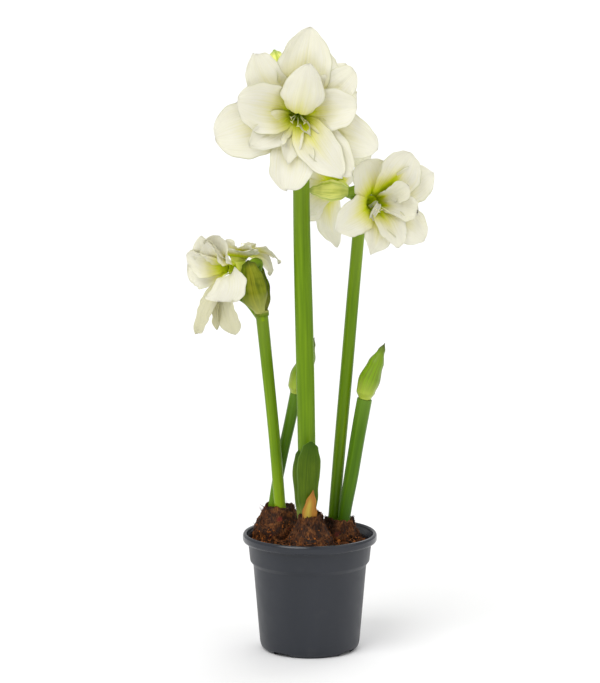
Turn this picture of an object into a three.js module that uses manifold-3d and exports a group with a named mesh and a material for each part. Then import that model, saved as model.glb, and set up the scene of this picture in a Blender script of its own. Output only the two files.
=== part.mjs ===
// A double white amaryllis (hippeastrum) in a plastic nursery pot: three bulbs, five flower stems,
// six open blooms and a pair of young leaves. Millimetres, +Z up, origin at the middle of the pot's
// underside. The side that the widest open bloom looks towards is -Y.
import * as THREE from "three";
import { mergeVertices } from "three/addons/utils/BufferGeometryUtils.js";
import Module from "manifold-3d";

const wasm = await Module();
wasm.setup();
const { Manifold } = wasm;

// ---------------------------------------------------------------- driving dimensions
const GAP = 0.3; // clearance between pieces that touch
const POT_HEIGHT = 132;
const RIM_RADIUS = 75; // a 15 cm pot, measured over the rim
const COLLAR_RADIUS = 69;
const BODY_TOP_RADIUS = 63.3;
const BODY_FOOT_RADIUS = 56;
const POT_WALL = 1.6;
const COLLAR_FOOT = 99; // height of the step where the wall widens into the collar
const RIM_FOOT = 122; // height of the underside of the rolled rim
const FLOOR_LIFT = 4; // how far the pot's floor stands above the table
const POT_SIDES = 24;
const SOIL_LEVEL = 119;
const STEM_SIDES = 8;
const TEPAL_THICKNESS = 0.8;
const TUBE_LENGTH = 26; // the green tube at the heart of a bloom
const TUBE_RADIUS = 5;
const THROAT_RADIUS = 9.5;

// ---------------------------------------------------------------- materials
const finish = (color, roughness) => new THREE.MeshStandardMaterial({ color, roughness, metalness: 0 });
const POT_PLASTIC = finish(0x45484c, 0.55);
const PEAT = finish(0x3a2216, 0.98);
const BULB_SKIN = finish(0x6b3f26, 0.85);
const STEM_GREEN = finish(0x6f9a2c, 0.45);
const LEAF_GREEN = finish(0x3f7020, 0.45);
const BUD_GREEN = finish(0x9dbb4a, 0.5);
const SPATHE_OLIVE = finish(0x7d8f2c, 0.6);
const DRY_SCALE = finish(0xc47a2c, 0.7);
const TEPAL_WHITE = finish(0xf6f4e4, 0.55);

// ---------------------------------------------------------------- small tools
const RAD = Math.PI / 180;
const point = (x, y, z) => new THREE.Vector3(x, y, z);
const curve = (...points) => new THREE.CatmullRomCurve3(points.map((p) => point(...p)));
const mix = (a, b, t) => a + (b - a) * t;
const ease = (t) => {
  const k = Math.min(1, Math.max(0, t));
  return k * k * (3 - 2 * k);
};

// A value between the stops [share, value], in order of share.
function ramp(stops, t) {
  const next = stops.findIndex(([share]) => share >= t);
  if (next <= 0) return stops[next < 0 ? stops.length - 1 : 0][1];
  const [[a, from], [b, to]] = [stops[next - 1], stops[next]];
  return mix(from, to, ease((t - a) / (b - a)));
}

// A closed set of triangles as a manifold solid, turned outwards if it was built inside out.
function solid(geometry) {
  const loose = geometry.index ? geometry.toNonIndexed() : geometry;
  const bare = new THREE.BufferGeometry().setAttribute("position", loose.getAttribute("position"));
  const merged = mergeVertices(bare, 1e-4);
  const vertProperties = merged.attributes.position.array;
  const triVerts = new Uint32Array(merged.index.array);
  const made = new Manifold(new wasm.Mesh({ numProp: 3, vertProperties, triVerts }));
  if (made.volume() > 0) return made;
  for (let i = 0; i < triVerts.length; i += 3)
    [triVerts[i + 1], triVerts[i + 2]] = [triVerts[i + 2], triVerts[i + 1]];
  return new Manifold(new wasm.Mesh({ numProp: 3, vertProperties, triVerts }));
}

// A manifold solid as a geometry that a mesh can hold.
function geometryOf(body) {
  const { vertProperties, triVerts, numProp } = body.getMesh();
  const count = vertProperties.length / numProp;
  const flat = new Float32Array(count * 3);
  for (let i = 0; i < count; i++)
    flat.set(vertProperties.subarray(i * numProp, i * numProp + 3), i * 3);
  return new THREE.BufferGeometry()
    .setAttribute("position", new THREE.BufferAttribute(flat, 3))
    .setIndex(new THREE.BufferAttribute(triVerts, 1));
}

// Rows of vertices, each a closed ring, with the first and last ring filled to their middles.
function skin(rings) {
  const sides = rings[0].length;
  const vertices = rings.flat();
  const faces = [];
  const middle = (ring) => ring.reduce((sum, p) => sum.add(p), point(0, 0, 0)).divideScalar(sides);
  for (let i = 0; i + 1 < rings.length; i++)
    for (let j = 0; j < sides; j++) {
      const a = i * sides + j;
      const b = i * sides + ((j + 1) % sides);
      faces.push(a, b, b + sides, a, b + sides, a + sides);
    }
  const start = vertices.push(middle(rings[0])) - 1;
  const end = vertices.push(middle(rings.at(-1))) - 1;
  const last = (rings.length - 1) * sides;
  for (let j = 0; j < sides; j++) {
    const k = (j + 1) % sides;
    faces.push(start, k, j, end, last + j, last + k);
  }
  return new THREE.BufferGeometry().setFromPoints(vertices).setIndex(faces);
}

// A round bar along a path. radiusAt(t) is its radius a share t of the way along, grow makes it
// larger all over, at its ends too, and flat squeezes its section.
function bar(path, steps, sides, radiusAt, { grow = 0, flat = 1 } = {}) {
  const frames = path.computeFrenetFrames(steps, false);
  const rings = [];
  for (let i = 0; i <= steps; i++) {
    const radius = radiusAt(i / steps) + grow;
    const past = i === 0 ? -grow : i === steps ? grow : 0;
    const centre = path.getPointAt(i / steps).addScaledVector(frames.tangents[i], past);
    const ring = [];
    for (let j = 0; j < sides; j++) {
      const turn = (2 * Math.PI * j) / sides;
      const spot = centre.clone().addScaledVector(frames.normals[i], radius * Math.cos(turn));
      ring.push(spot.addScaledVector(frames.binormals[i], radius * flat * Math.sin(turn)));
    }
    rings.push(ring);
  }
  return solid(skin(rings));
}

// A thin blade from its middle surface at(u, s), u from -1 to 1 across and s from 0 to 1 along.
// Both faces are split the same way, so they keep their distance everywhere.
function blade(at, along, across, thickness) {
  const step = 1e-3;
  const sides = [[], []];
  for (const s of along)
    for (const u of across) {
      const du = at(u + step, s).sub(at(u - step, s));
      const ds = at(u, s + step).sub(at(u, s - step));
      const normal = du.cross(ds).normalize();
      sides.forEach((side, k) => side.push(at(u, s).addScaledVector(normal, (0.5 - k) * thickness)));
    }
  const faces = [];
  const quad = (a, b, c, d) => faces.push(a, b, c, a, c, d);
  const columns = across.length;
  const under = sides[0].length;
  const top = (along.length - 1) * columns;
  for (let i = 0; i + 1 < along.length; i++)
    for (let j = 0; j + 1 < columns; j++) {
      const a = i * columns + j;
      faces.push(a, a + 1, a + 1 + columns, a, a + 1 + columns, a + columns);
      const b = a + under;
      faces.push(b, b + 1 + columns, b + 1, b, b + columns, b + 1 + columns);
    }
  const wall = (a, b) => quad(b, a, under + a, under + b);
  for (let j = 0; j + 1 < columns; j++) {
    wall(j, j + 1);
    wall(top + j + 1, top + j);
  }
  for (let i = 0; i + 1 < along.length; i++) {
    wall((i + 1) * columns, i * columns);
    wall(i * columns + columns - 1, (i + 1) * columns + columns - 1);
  }
  return solid(new THREE.BufferGeometry().setFromPoints(sides.flat()).setIndex(faces));
}

// The main body of a solid, without closed pockets inside it or crumbs beside it, and without the
// slivers that crossing blades leave.
const SLIVER = 0.1;
function largest(body) {
  const bodies = body.asOriginal().simplify(SLIVER).decompose();
  return bodies.sort((a, b) => b.volume() - a.volume())[0];
}

const group = new THREE.Group();
function add(name, body, material) {
  const mesh = new THREE.Mesh(geometryOf(body), material);
  mesh.name = name;
  group.add(mesh);
  return mesh;
}

// ---------------------------------------------------------------- pot
// the inside of the pot's wall, from the floor up to the lip, as [radius, height]
const INNER_WALL = [
  [BODY_FOOT_RADIUS - POT_WALL - 2, FLOOR_LIFT + POT_WALL],
  [BODY_FOOT_RADIUS - POT_WALL, 9],
  [BODY_TOP_RADIUS - POT_WALL, COLLAR_FOOT - 2],
  [COLLAR_RADIUS - POT_WALL - 2.2, COLLAR_FOOT + 3.4],
  [COLLAR_RADIUS - POT_WALL, RIM_FOOT],
  [RIM_RADIUS - 4.6, POT_HEIGHT - 2.6],
];

function pot() {
  const outline = [
    [0, 0],
    [14, 0],
    [16, FLOOR_LIFT],
    [42, FLOOR_LIFT],
    [44, 0],
    [51, 0],
    [BODY_FOOT_RADIUS - 1.2, 4],
    [BODY_FOOT_RADIUS, 9],
    [BODY_TOP_RADIUS, COLLAR_FOOT - 3],
    [COLLAR_RADIUS - 2.2, COLLAR_FOOT + 1.6],
    [COLLAR_RADIUS, RIM_FOOT],
    [RIM_RADIUS - 1, RIM_FOOT + 0.6],
    [RIM_RADIUS, RIM_FOOT + 3],
    [RIM_RADIUS, POT_HEIGHT - 2.4],
    [RIM_RADIUS - 2.2, POT_HEIGHT],
    ...[...INNER_WALL].reverse(),
    [0, FLOOR_LIFT + POT_WALL],
  ].map(([r, z]) => new THREE.Vector2(r, z));
  let body = solid(new THREE.LatheGeometry(outline, POT_SIDES).rotateX(Math.PI / 2));
  const cutAt = (geometry, turn, r, z) => solid(geometry.translate(r, 0, z).rotateZ(turn * RAD));
  for (const turn of [53, 143, 233, 323]) // the foot ring is broken by four wide notches
    body = body.subtract(cutAt(new THREE.BoxGeometry(20, 21, 2 * FLOOR_LIFT), turn, 50, 0));
  for (let k = 0; k < 6; k++) {
    const hole = new THREE.CylinderGeometry(4, 4, 12, 8).rotateX(Math.PI / 2);
    body = body.subtract(cutAt(hole, 60 * k + 20, 29, FLOOR_LIFT));
  }
  return body;
}

// ---------------------------------------------------------------- stems
// Each flower stem: its centre line, its radius at the foot, half way and at the top, and the
// bloom stalks that rise from its top to the blooms and buds named here.
const STEMS = {
  stem_left: {
    path: [
      [-31.6, 7, 147], [-33.4, 5.5, 162], [-37.5, 5, 215],
      [-42.5, 5, 270], [-48, 5, 325], [-53.4, 5, 378],
    ],
    radius: [6.4, 6.4, 6.9],
    stalks: {
      bloom_left_front: [[-52, 2, 370], [-57, 2, 400], [-58, 8, 424]],
      bloom_left_back: [[-54, 9, 370], [-68, 11, 388]],
    },
  },
  stem_left_back: {
    path: [[-42.4, 20, 145], [-40.4, 20.5, 162], [-31.8, 21, 210], [-22, 18, 255], [-15.5, 15, 287]],
    radius: [5.6, 6.2, 6.6],
  },
  stem_centre: {
    path: [
      [-1.6, -23.5, 147], [-2.6, -24, 165], [-4, -24.5, 250],
      [-6, -24, 350], [-9, -21, 470], [-10, -16, 552],
    ],
    radius: [9.6, 10, 9],
    stalks: {
      bloom_centre_front: [[-13, -17, 545], [-16, -11, 578], [-15, -11, 600]],
      bloom_centre_back: [[-7, -14, 545], [-4, -19, 574], [-4, -21, 594]],
      flower_bud_centre: [[-12, -10, 545], [-20, 6, 590]],
    },
  },
  stem_right: {
    path: [[26.2, 17, 133], [27.4, 16, 150], [33, 14, 220], [40, 12, 302], [48, 11, 400], [54.5, 10, 477]],
    radius: [6.4, 6.9, 6.8],
    stalks: {
      bloom_right_front: [[57, 8, 470], [60, 10, 486], [55, 9, 495]],
      bloom_right_back: [[53, 12, 470], [54, 14, 490]],
      flower_bud_right: [[51, 7, 470], [51, 3, 496]],
    },
  },
  stem_right_front: {
    path: [[37.2, 5, 134], [38.8, 4, 152], [46, 2, 195], [54, 0.5, 245], [60.6, 0, 282.7]],
    radius: [7, 8, 8.4],
  },
};

function stemBar(name, grow = 0) {
  const { path, radius } = STEMS[name];
  const [foot, middle, top] = radius;
  return bar(curve(...path), 7, STEM_SIDES, (t) => ramp([[0, foot], [0.5, middle], [1, top]], t), { grow });
}

// A stalk ends in the seed pod that its bloom's tube, or its bud, stands on.
function stalk(through, { at, facing }, grow = 0) {
  const ahead = point(...facing).normalize();
  const end = point(...at).addScaledVector(ahead, -GAP);
  const before = end.clone().addScaledVector(ahead, -14);
  const line = new THREE.CatmullRomCurve3([...through.map((p) => point(...p)), before, end]);
  return bar(line, 6, 6, (t) => ramp([[0, 4], [0.6, 3.4], [0.86, 5.8], [1, 4.8]], t), { grow });
}

// A whole stem with its stalks.
function stemBody(name, grow = 0) {
  const stalks = Object.entries(STEMS[name].stalks ?? {});
  return Manifold.union([stemBar(name, grow), ...stalks.map(([head, way]) => stalk(way, HEADS[head], grow))]);
}

// ---------------------------------------------------------------- bulbs
// Each bulb: where its axis stands, how high its neck ends, and its outline as
// [radius, depth below the neck's edge]. The section is wider by `deep` along Y.
const BULBS = {
  bulb_left: {
    at: [-34.8, 13.6], top: 160, deep: 1.0, seed: 1,
    stems: ["stem_left", "stem_left_back"], against: ["bulb_centre"],
    outline: [[17, 0], [18.6, 5], [21.2, 11], [24.6, 19], [26.8, 28], [26.2, 42], [21.5, 61], [8, 76]],
  },
  bulb_centre: {
    at: [0.5, -30], top: 160, deep: 1.18, seed: 2, stems: ["stem_centre"],
    leaves: ["leaf_front", "leaf_behind", "bulb_scale_tip"],
    outline: [[13, 0], [13.8, 6], [15.6, 13], [20, 21], [24.2, 30], [26, 44], [22, 62], [8, 77]],
  },
  bulb_right: {
    at: [33, 12], top: 147, deep: 1.0, seed: 3,
    stems: ["stem_right", "stem_right_front"], against: ["bulb_centre"],
    outline: [[16.4, 0], [17.2, 5], [19, 11], [22, 19], [24.4, 27], [25, 39], [20, 56], [7, 70]],
  },
};
const BULB_SIDES = 14;
const NECK_DEPTH = 4; // how far the neck's middle lies below its ragged edge

// How far the dry scales stand out of a bulb's smooth outline: layers that end in ragged edges.
function scaleRelief(turn, depth, seed) {
  let relief = 0;
  for (let layer = 0; layer < 4; layer++) {
    const edge = 4 + 9.5 * layer + 2.4 * Math.sin(turn * (2 + layer) + seed * 2.1 + layer * 1.7);
    relief += 0.75 * ease((depth - edge) / 2);
  }
  return relief - 1.5 + 0.5 * Math.sin(turn * 5 + seed + depth * 0.12);
}

// swell grows the bulb outwards all over, which the soil's hole needs.
function bulbBody({ at, top, deep, seed, outline }, swell = 0) {
  const ringAt = (radius, height, relief) => {
    const ring = [];
    for (let j = 0; j < BULB_SIDES; j++) {
      const turn = (2 * Math.PI * j) / BULB_SIDES;
      const depth = top - height;
      const r = radius + swell + (relief ? scaleRelief(turn, depth, seed) : 0);
      const rag = relief && depth < 3 ? 1.3 * Math.sin(turn * 3 + seed) : 0;
      ring.push(point(at[0] + r * Math.cos(turn), at[1] + r * deep * Math.sin(turn), height + rag));
    }
    return ring;
  };
  const rings = [ringAt(outline[0][0] - 3, top - NECK_DEPTH + swell, false)];
  for (const [r, down] of outline.slice(0, -1)) rings.push(ringAt(r, top - down, true));
  const [foot, depth] = outline.at(-1);
  rings.push(ringAt(foot, top - depth - swell, false));
  return solid(skin(rings));
}

// The stems and leaves stand in holes of their bulb, and a bulb is hollowed where it is pressed
// against its neighbour.
function bulb(shape) {
  const { stems, against = [], leaves = [] } = shape;
  const holes = [
    ...stems.map((name) => stemBar(name, GAP)),
    ...against.map((name) => bulbBody(BULBS[name], GAP)),
    ...leaves.map((name) => leafBlade(LEAVES[name], GAP)),
  ];
  return largest(bulbBody(shape).subtract(Manifold.union(holes)));
}

// ---------------------------------------------------------------- soil
// The soil is heaped up between the bulbs and falls away to the rim at the back.
const HEAP = 5; // how much higher it is heaped on the right
const HEAP_AT = [50, -6];
function soilHeight(x, y) {
  let height = SOIL_LEVEL - 0.035 * x - 0.05 * y;
  for (const { at } of Object.values(BULBS)) {
    const far = Math.hypot(x - at[0], y - at[1]);
    height += 7 * Math.exp(-((far / 30) ** 2));
  }
  height += HEAP * Math.exp(-((Math.hypot(x - HEAP_AT[0], y - HEAP_AT[1]) / 15) ** 2));
  return height + 0.9 * Math.sin(x * 0.21 + 1) * Math.cos(y * 0.17) + 0.5 * Math.sin(x * 0.43 - y * 0.39);
}

function soil() {
  const ring = (radius, height) => {
    const made = [];
    for (let j = 0; j < POT_SIDES; j++) {
      const turn = (2 * Math.PI * j) / POT_SIDES;
      const x = radius * Math.cos(turn);
      const y = radius * Math.sin(turn);
      made.push(point(x, y, height ?? soilHeight(x, y)));
    }
    return made;
  };
  const wall = INNER_WALL.slice(0, 4).map(([r, z], i) => ring(r - GAP, i ? z : z + GAP));
  const edge = COLLAR_RADIUS - POT_WALL - 2.2 - GAP;
  const surface = [1, 0.82, 0.56, 0.28].map((share) => ring(edge * share));
  let body = solid(skin([...wall, ...surface]));
  for (const shape of Object.values(BULBS)) body = body.subtract(bulbBody(shape, GAP));
  return body;
}

// ---------------------------------------------------------------- blooms
// A tepal grows from the tube's rim and arches away from the bloom's axis. Angles are in degrees:
//   around   its place about the axis, counted from the bloom's right as seen from the front
//   spread   how far its tip ends up from the axis, and width its widest
//   open     the lean from the axis just past the throat, flare the lean further out,
//   curl     and what the last part adds
//   start    its lean at the root, and hinge and bend where the flare starts and how long it takes
//   cup      how far its sides rise towards the axis
//   funnel   how far its claw follows the funnel round the throat
//   sway     how far it turns sideways about the axis towards its tip
//   twist    how far the blade turns about its own midline
//   wave     the height of its ripples, waves their number
//   swell    how late it widens from its claw
//   blunt    the tip's shape: 0.5 is round and 1 is pointed; widest is where that shape starts
const TEPAL = {
  start: 14, open: 50, flare: 80, curl: 10, hinge: 0.14, bend: 0.5, cup: 0.1, funnel: 1, sway: 0,
  twist: 0, wave: 2, waves: 1.5, swell: 1.4, blunt: 0.62, widest: 0.55, claw: 0.2, inset: 0.8,
};
// the layers that stand inside the outermost one: the second three, the extra inner ones, the one
// that comes forward and stands up like a hood before the throat, and the small ones in the throat
const SECOND = { open: 42, flare: 72, inset: 1.8, cup: 0.14 };
const THIRD = { open: 32, flare: 62, inset: 2.7, cup: 0.2 };
const HOOD = {
  start: -13, open: -13, hinge: 0.2, bend: 0.5, flare: 88, curl: -8, inset: 2.7,
  cup: -0.4, funnel: -0.2, swell: 2.4, widest: 0.62, claw: 0.3, blunt: 0.8,
};
const TATTER = { open: 24, flare: 28, inset: 2.6, cup: 0.6, wave: 0, claw: 0.5 };
const LINE_STEPS = 24;
const ROOT_DEPTH = 4; // how far below the tube's rim a tepal starts, inside the tube's wall

// A tepal's measures: its place, its spread and its breadth, then its layer's and its own.
const tepal = (around, spread, width, ...more) => Object.assign({ around, spread, width }, ...more);

// The shape of a tepal in its bloom's own frame, as a function of (u, s).
function tepalSurface(given) {
  const t = { ...TEPAL, ...given };
  const leanAt = (s) => {
    const rise = mix(t.start, t.open, ease(s / 0.3));
    const flare = (t.flare - t.open) * ease((s - t.hinge) / t.bend);
    return (rise + flare + t.curl * ease((s - 0.6) / 0.4)) * RAD;
  };
  const headingAt = (s) => point(Math.sin(leanAt(s)), 0, Math.cos(leanAt(s)));
  const line = [point(0, 0, 0)];
  for (let i = 0; i < LINE_STEPS; i++)
    line.push(line[i].clone().addScaledVector(headingAt((i + 0.5) / LINE_STEPS), 1 / LINE_STEPS));
  const root = point(THROAT_RADIUS - t.inset, 0, TUBE_LENGTH - ROOT_DEPTH);
  const length = (t.spread - root.x) / line.at(-1).x;
  for (const p of line) p.multiplyScalar(length).add(root);
  const halfWidth = (s) => {
    const claw = t.claw + (1 - t.claw) * Math.sin((Math.min(1, s / t.widest) * Math.PI) / 2) ** t.swell;
    const tip = s <= t.widest ? 1 : (1 - ((s - t.widest) / (1 - t.widest)) ** 2) ** t.blunt;
    return (t.width / 2) * Math.max(0.08, claw * tip);
  };
  return (u, s) => {
    const k = Math.min(1, Math.max(0, s));
    const at = k * LINE_STEPS;
    const i = Math.min(LINE_STEPS - 1, Math.floor(at));
    const centre = line[i].clone().lerp(line[i + 1], at - i).addScaledVector(headingAt(s), (s - k) * length);
    const ahead = headingAt(k);
    const inward = point(-ahead.z, 0, ahead.x);
    const half = halfWidth(k);
    // the blade follows the funnel that its layer forms round the throat, and its cup adds to that
    const funnel = (t.funnel * half * Math.max(0, Math.cos(leanAt(k)))) / Math.max(6, centre.x);
    const bent = funnel + t.cup * 1.6 * ease((k - 0.2) / 0.4);
    const bend = Math.abs(bent) < 0.02 ? 0.02 : bent;
    const side = (half * Math.sin(bend * u)) / bend;
    const cupped = (half * (1 - Math.cos(bend * u))) / bend;
    const turn = t.around * RAD;
    const phase = 2 * Math.PI * t.waves * k + u * 1.3 + turn * 3;
    const ripple = t.wave * u * u * Math.sin(phase) * ease((k - 0.2) / 0.3);
    const roll = t.twist * RAD * ease(k / 0.4);
    const across = point(0, Math.cos(roll), 0).addScaledVector(inward, Math.sin(roll));
    const above = point(0, -Math.sin(roll), 0).addScaledVector(inward, Math.cos(roll));
    return centre
      .addScaledVector(across, side)
      .addScaledVector(above, cupped + ripple)
      .applyAxisAngle(point(0, 0, 1), turn + t.sway * RAD * k * k);
  };
}

// Where the blades of each kind of tepal are split, along and across.
const GRID = {
  outer: [[0, 0.22, 0.44, 0.64, 0.82, 0.94, 1], [-1, -0.4, 0.4, 1]],
  inner: [[0, 0.28, 0.58, 0.85, 1], [-1, 0, 1]],
  small: [[0, 0.5, 1], [-1, 0, 1]],
};

function tube() {
  const outline = [
    [0, 0],
    [TUBE_RADIUS, 0],
    [TUBE_RADIUS + 1.5, TUBE_LENGTH * 0.45],
    [THROAT_RADIUS, TUBE_LENGTH],
    [THROAT_RADIUS - 3.4, TUBE_LENGTH],
    [TUBE_RADIUS - 1.5, TUBE_LENGTH * 0.45],
    [0, TUBE_LENGTH * 0.3],
  ].map(([r, z]) => new THREE.Vector2(r, z));
  return solid(new THREE.LatheGeometry(outline, 9).rotateX(Math.PI / 2));
}

// A few threads rise from the tube's floor and bow towards the bloom's lower side.
function threads(count, reach) {
  const made = [];
  for (let k = 0; k < count; k++) {
    const turn = -Math.PI / 2 + (k - (count - 1) / 2) * 0.6;
    const at = (r, z) => [Math.cos(turn) * r, Math.sin(turn) * r, z];
    const line = curve(
      at(1.8, TUBE_LENGTH * 0.25),
      at(3.5, TUBE_LENGTH * 0.9),
      at(reach * 0.2, TUBE_LENGTH + reach * 0.4),
      at(reach * 0.42, TUBE_LENGTH + reach * 0.75),
    );
    made.push(bar(line, 4, 3, (t) => (t > 0.9 ? 1.4 : 0.9)));
  }
  return made;
}

// The matrix that stands a bloom or bud at its place: its axis looks along `facing`, and its
// own up stays as near to +Z as it can.
function poseOf({ at, facing }) {
  const ahead = point(...facing).normalize();
  const right = point(0, 0, 1).cross(ahead).normalize();
  const top = ahead.clone().cross(right);
  return new THREE.Matrix4().makeBasis(right, top, ahead).setPosition(...at);
}

function bloom(shape) {
  const pieces = [tube(), ...threads(shape.threadCount ?? 0, 40)];
  for (const [kind, [along, across]] of Object.entries(GRID))
    for (const t of shape[kind] ?? []) pieces.push(blade(tepalSurface(t), along, across, TEPAL_THICKNESS));
  return largest(Manifold.union(pieces));
}

const BLOOMS = {
  bloom_centre_front: {
    at: [-13, -30, 603.5], facing: [0, -1, 0], threadCount: 3,
    outer: [
      tepal(82, 94, 60, { cup: 0.22, blunt: 0.72, wave: 1 }),
      tepal(195, 91, 66, { cup: 0.16, blunt: 0.42 }),
      tepal(337, 92, 50, { blunt: 0.55 }),
      tepal(142, 79, 46, SECOND, { blunt: 0.42, sway: -17 }),
      tepal(262, 80, 50, SECOND, { cup: 0.2, blunt: 0.42, widest: 0.66, wave: 3 }),
      tepal(31, 76, 42, SECOND, { blunt: 0.42, sway: 8 }),
      tepal(78, 57, 50, HOOD),
    ],
    inner: [
      tepal(167, 66, 60, THIRD, { blunt: 0.42 }),
      tepal(212, 60, 36, THIRD, { open: 26, wave: 4, waves: 2 }),
      tepal(298, 80, 46, THIRD, { flare: 72, cup: 0.16, blunt: 0.75, sway: 9 }),
      tepal(9, 63, 50, THIRD, { cup: 0.22, blunt: 0.42 }),
      tepal(313, 84, 42, SECOND, { blunt: 0.5 }),
      tepal(257, 52, 28, { open: 30, flare: 56, inset: 2.4, cup: 0.6 }),
    ],
    small: [tepal(300, 26, 12, TATTER, { curl: 20 })],
  },
  bloom_centre_back: {
    at: [-3, -4, 600], facing: [0.1, 1, 0.1],
    outer: [tepal(98, 66, 54), tepal(228, 92, 54), tepal(345, 76, 54)],
    inner: [
      tepal(48, 58, 46, SECOND), tepal(165, 52, 46, SECOND), tepal(280, 76, 50, SECOND),
      ...[20, 130, 250].map((around) => tepal(around, 58, 42, THIRD, { wave: 3 })),
    ],
    small: [tepal(270, 28, 12, TATTER)],
  },
  bloom_right_front: {
    at: [57, -3, 501], facing: [0.46, -0.88, 0.1], threadCount: 3,
    outer: [
      tepal(111, 49, 54, { blunt: 0.42, cup: 0.2 }),
      tepal(200, 66, 43, { blunt: 0.72, cup: 0.12, widest: 0.5, sway: 4 }),
      tepal(26, 70, 44, { blunt: 0.65 }),
      tepal(57, 62, 50, SECOND, { blunt: 0.4 }),
      tepal(265, 58, 36, { open: 46, blunt: 0.7, sway: -12 }),
      tepal(317, 62, 44, SECOND, { blunt: 0.6 }),
    ],
    inner: [
      tepal(284, 50, 38, THIRD, { blunt: 0.6 }),
      tepal(342, 36, 30, { open: 20, flare: 44, inset: 2.2, cup: 0.2, wave: 3, blunt: 0.28, widest: 0.75 }),
      tepal(38, 28, 26, { open: 16, flare: 30, inset: 2.4, cup: 0.25, wave: 3, blunt: 0.28, widest: 0.75 }),
      tepal(225, 32, 8, TATTER, { start: -30, open: -30, hinge: 0.2, bend: 0.3, flare: 90, sway: 20 }),
    ],
  },
  bloom_right_back: {
    at: [46, 20, 508], facing: [-0.55, 0.7, 0.3],
    outer: [
      tepal(320, 46, 50),
      tepal(252, 84, 34, { open: 56, flare: 100, curl: 20 }),
      tepal(95, 30, 34),
    ],
    inner: [
      tepal(291, 52, 54, SECOND, { flare: 80, blunt: 0.5 }),
      tepal(166, 32, 30, SECOND),
      tepal(30, 42, 40, SECOND),
    ],
    small: [90, 210, 330].map((around) => tepal(around, 34, 28, THIRD)),
  },
  bloom_left_front: {
    at: [-68, -1, 432], facing: [-0.72, -0.64, -0.1],
    outer: [
      tepal(172, 48, 52, { flare: 70, cup: 0.4, blunt: 0.45 }),
      tepal(338, 31, 46, {
        start: -6, open: 22, flare: 60, curl: 0, cup: -0.1, funnel: 0.3, inset: 3, wave: 1,
        blunt: 0.3, widest: 0.85, swell: 1.3, twist: -46, sway: -54,
      }),
      tepal(82, 42, 46, { flare: 70, cup: 0.4, blunt: 0.45 }),
      tepal(114, 44, 46, SECOND, { flare: 66, cup: 0.4, blunt: 0.45 }),
      tepal(275, 71, 36, { open: 62, flare: 100, curl: 4, blunt: 0.5, widest: 0.66 }),
      tepal(249, 84, 24, { open: 50, flare: 88, curl: 16, blunt: 0.85, sway: -9 }),
    ],
    inner: [
      tepal(150, 40, 36, { open: 30, flare: 52, inset: 2.7, cup: 0.5 }),
      tepal(257, 68, 12, { open: 56, flare: 92, inset: 2.7, cup: 0.4 }),
      tepal(96, 36, 34, { open: 30, flare: 54, inset: 2.7, cup: 0.5 }),
    ],
  },
  bloom_left_back: {
    at: [-83, 14, 416], facing: [0.16, 0.36, 0.91],
    outer: [
      tepal(14, 30, 30, { open: 70, flare: 96, curl: 6, blunt: 0.8 }),
      tepal(189, 48, 34, { open: 62, flare: 104, curl: 46, blunt: 0.85 }),
      tepal(226, 40, 34, { open: 74, flare: 120, curl: 50, blunt: 0.8 }),
    ],
    inner: [
      tepal(106, 26, 50, {
        start: 30, open: 50, hinge: 0.2, bend: 0.3, flare: 100, curl: 0, funnel: 0, claw: 0.4,
        widest: 0.6, blunt: 0.4,
      }),
      tepal(75, 26, 18, SECOND, { open: 46, flare: 60, blunt: 0.8 }),
      tepal(140, 36, 24, SECOND, { open: 66, flare: 92, curl: 16, blunt: 0.8 }),
      tepal(300, 34, 26, SECOND, { open: 58, flare: 84, blunt: 0.8 }),
    ],
    small: [45, 160, 280].map((around) => tepal(around, 23, 16, THIRD, { open: 36, flare: 50, blunt: 0.9 })),
  },
};

// ---------------------------------------------------------------- buds
// A flower bud that has left its spathe: three closed tepals that meet in ridges. Its outline is
// [share of its length, share of its radius].
const BUD_LENGTH = 46;
const BUD_RADIUS = 12;
function flowerBud({ outline }) {
  const rings = [];
  const sides = 12;
  for (const [s, share] of outline) {
    const r = share * BUD_RADIUS;
    const ring = [];
    for (let j = 0; j < sides; j++) {
      const turn = (2 * Math.PI * j) / sides;
      const ridged = r * (1 + 0.05 * Math.cos(3 * turn));
      ring.push(point(ridged * Math.cos(turn), ridged * Math.sin(turn), BUD_LENGTH * s));
    }
    rings.push(ring);
  }
  return solid(skin(rings));
}
const POINTED = [[0, 0.42], [0.2, 0.84], [0.4, 1], [0.6, 0.82], [0.8, 0.46], [1, 0.05]];
const BLUNT = [[0, 0.4], [0.2, 0.8], [0.42, 1], [0.68, 0.88], [0.88, 0.56], [1, 0.12]];
const FLOWER_BUDS = {
  flower_bud_centre: { at: [-28, 22, 625], facing: [-0.25, 0.35, 0.9], outline: BLUNT },
  flower_bud_right: { at: [42, 0, 514], facing: [-1, 0, 0.02], outline: POINTED },
};

const HEADS = { ...BLOOMS, ...FLOWER_BUDS };

// A head that is still closed in its spathe, two leaf-like valves pressed together.
const CLOSED_BUDS = {
  closed_bud_right: { stem: "stem_right_front", bend: [[71, -2, 318], [83, -2, 346]], radius: 13.6 },
  closed_bud_left: { stem: "stem_left_back", bend: [[-4, 12, 322], [5, 11, 350]], radius: 13.4 },
};
function closedBud({ stem, bend, radius }) {
  const line = curve(...STEMS[stem].path);
  const foot = line.getPointAt(1).addScaledVector(line.getTangentAt(1), GAP);
  const above = foot.clone().addScaledVector(line.getTangentAt(1), 12);
  const path = new THREE.CatmullRomCurve3([foot, above, ...bend.map((p) => point(...p))]);
  const swell = [[0, 0.58], [0.12, 0.86], [0.32, 1], [0.62, 0.74], [0.86, 0.34], [1, 0.06]];
  return bar(path, 8, 12, (t) => radius * ramp(swell, t), { flat: 0.86 });
}

// ---------------------------------------------------------------- leaves, spathes and scales
const END_REACH = 50; // how fast a leaf's surface runs on past the ends of its path
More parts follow.
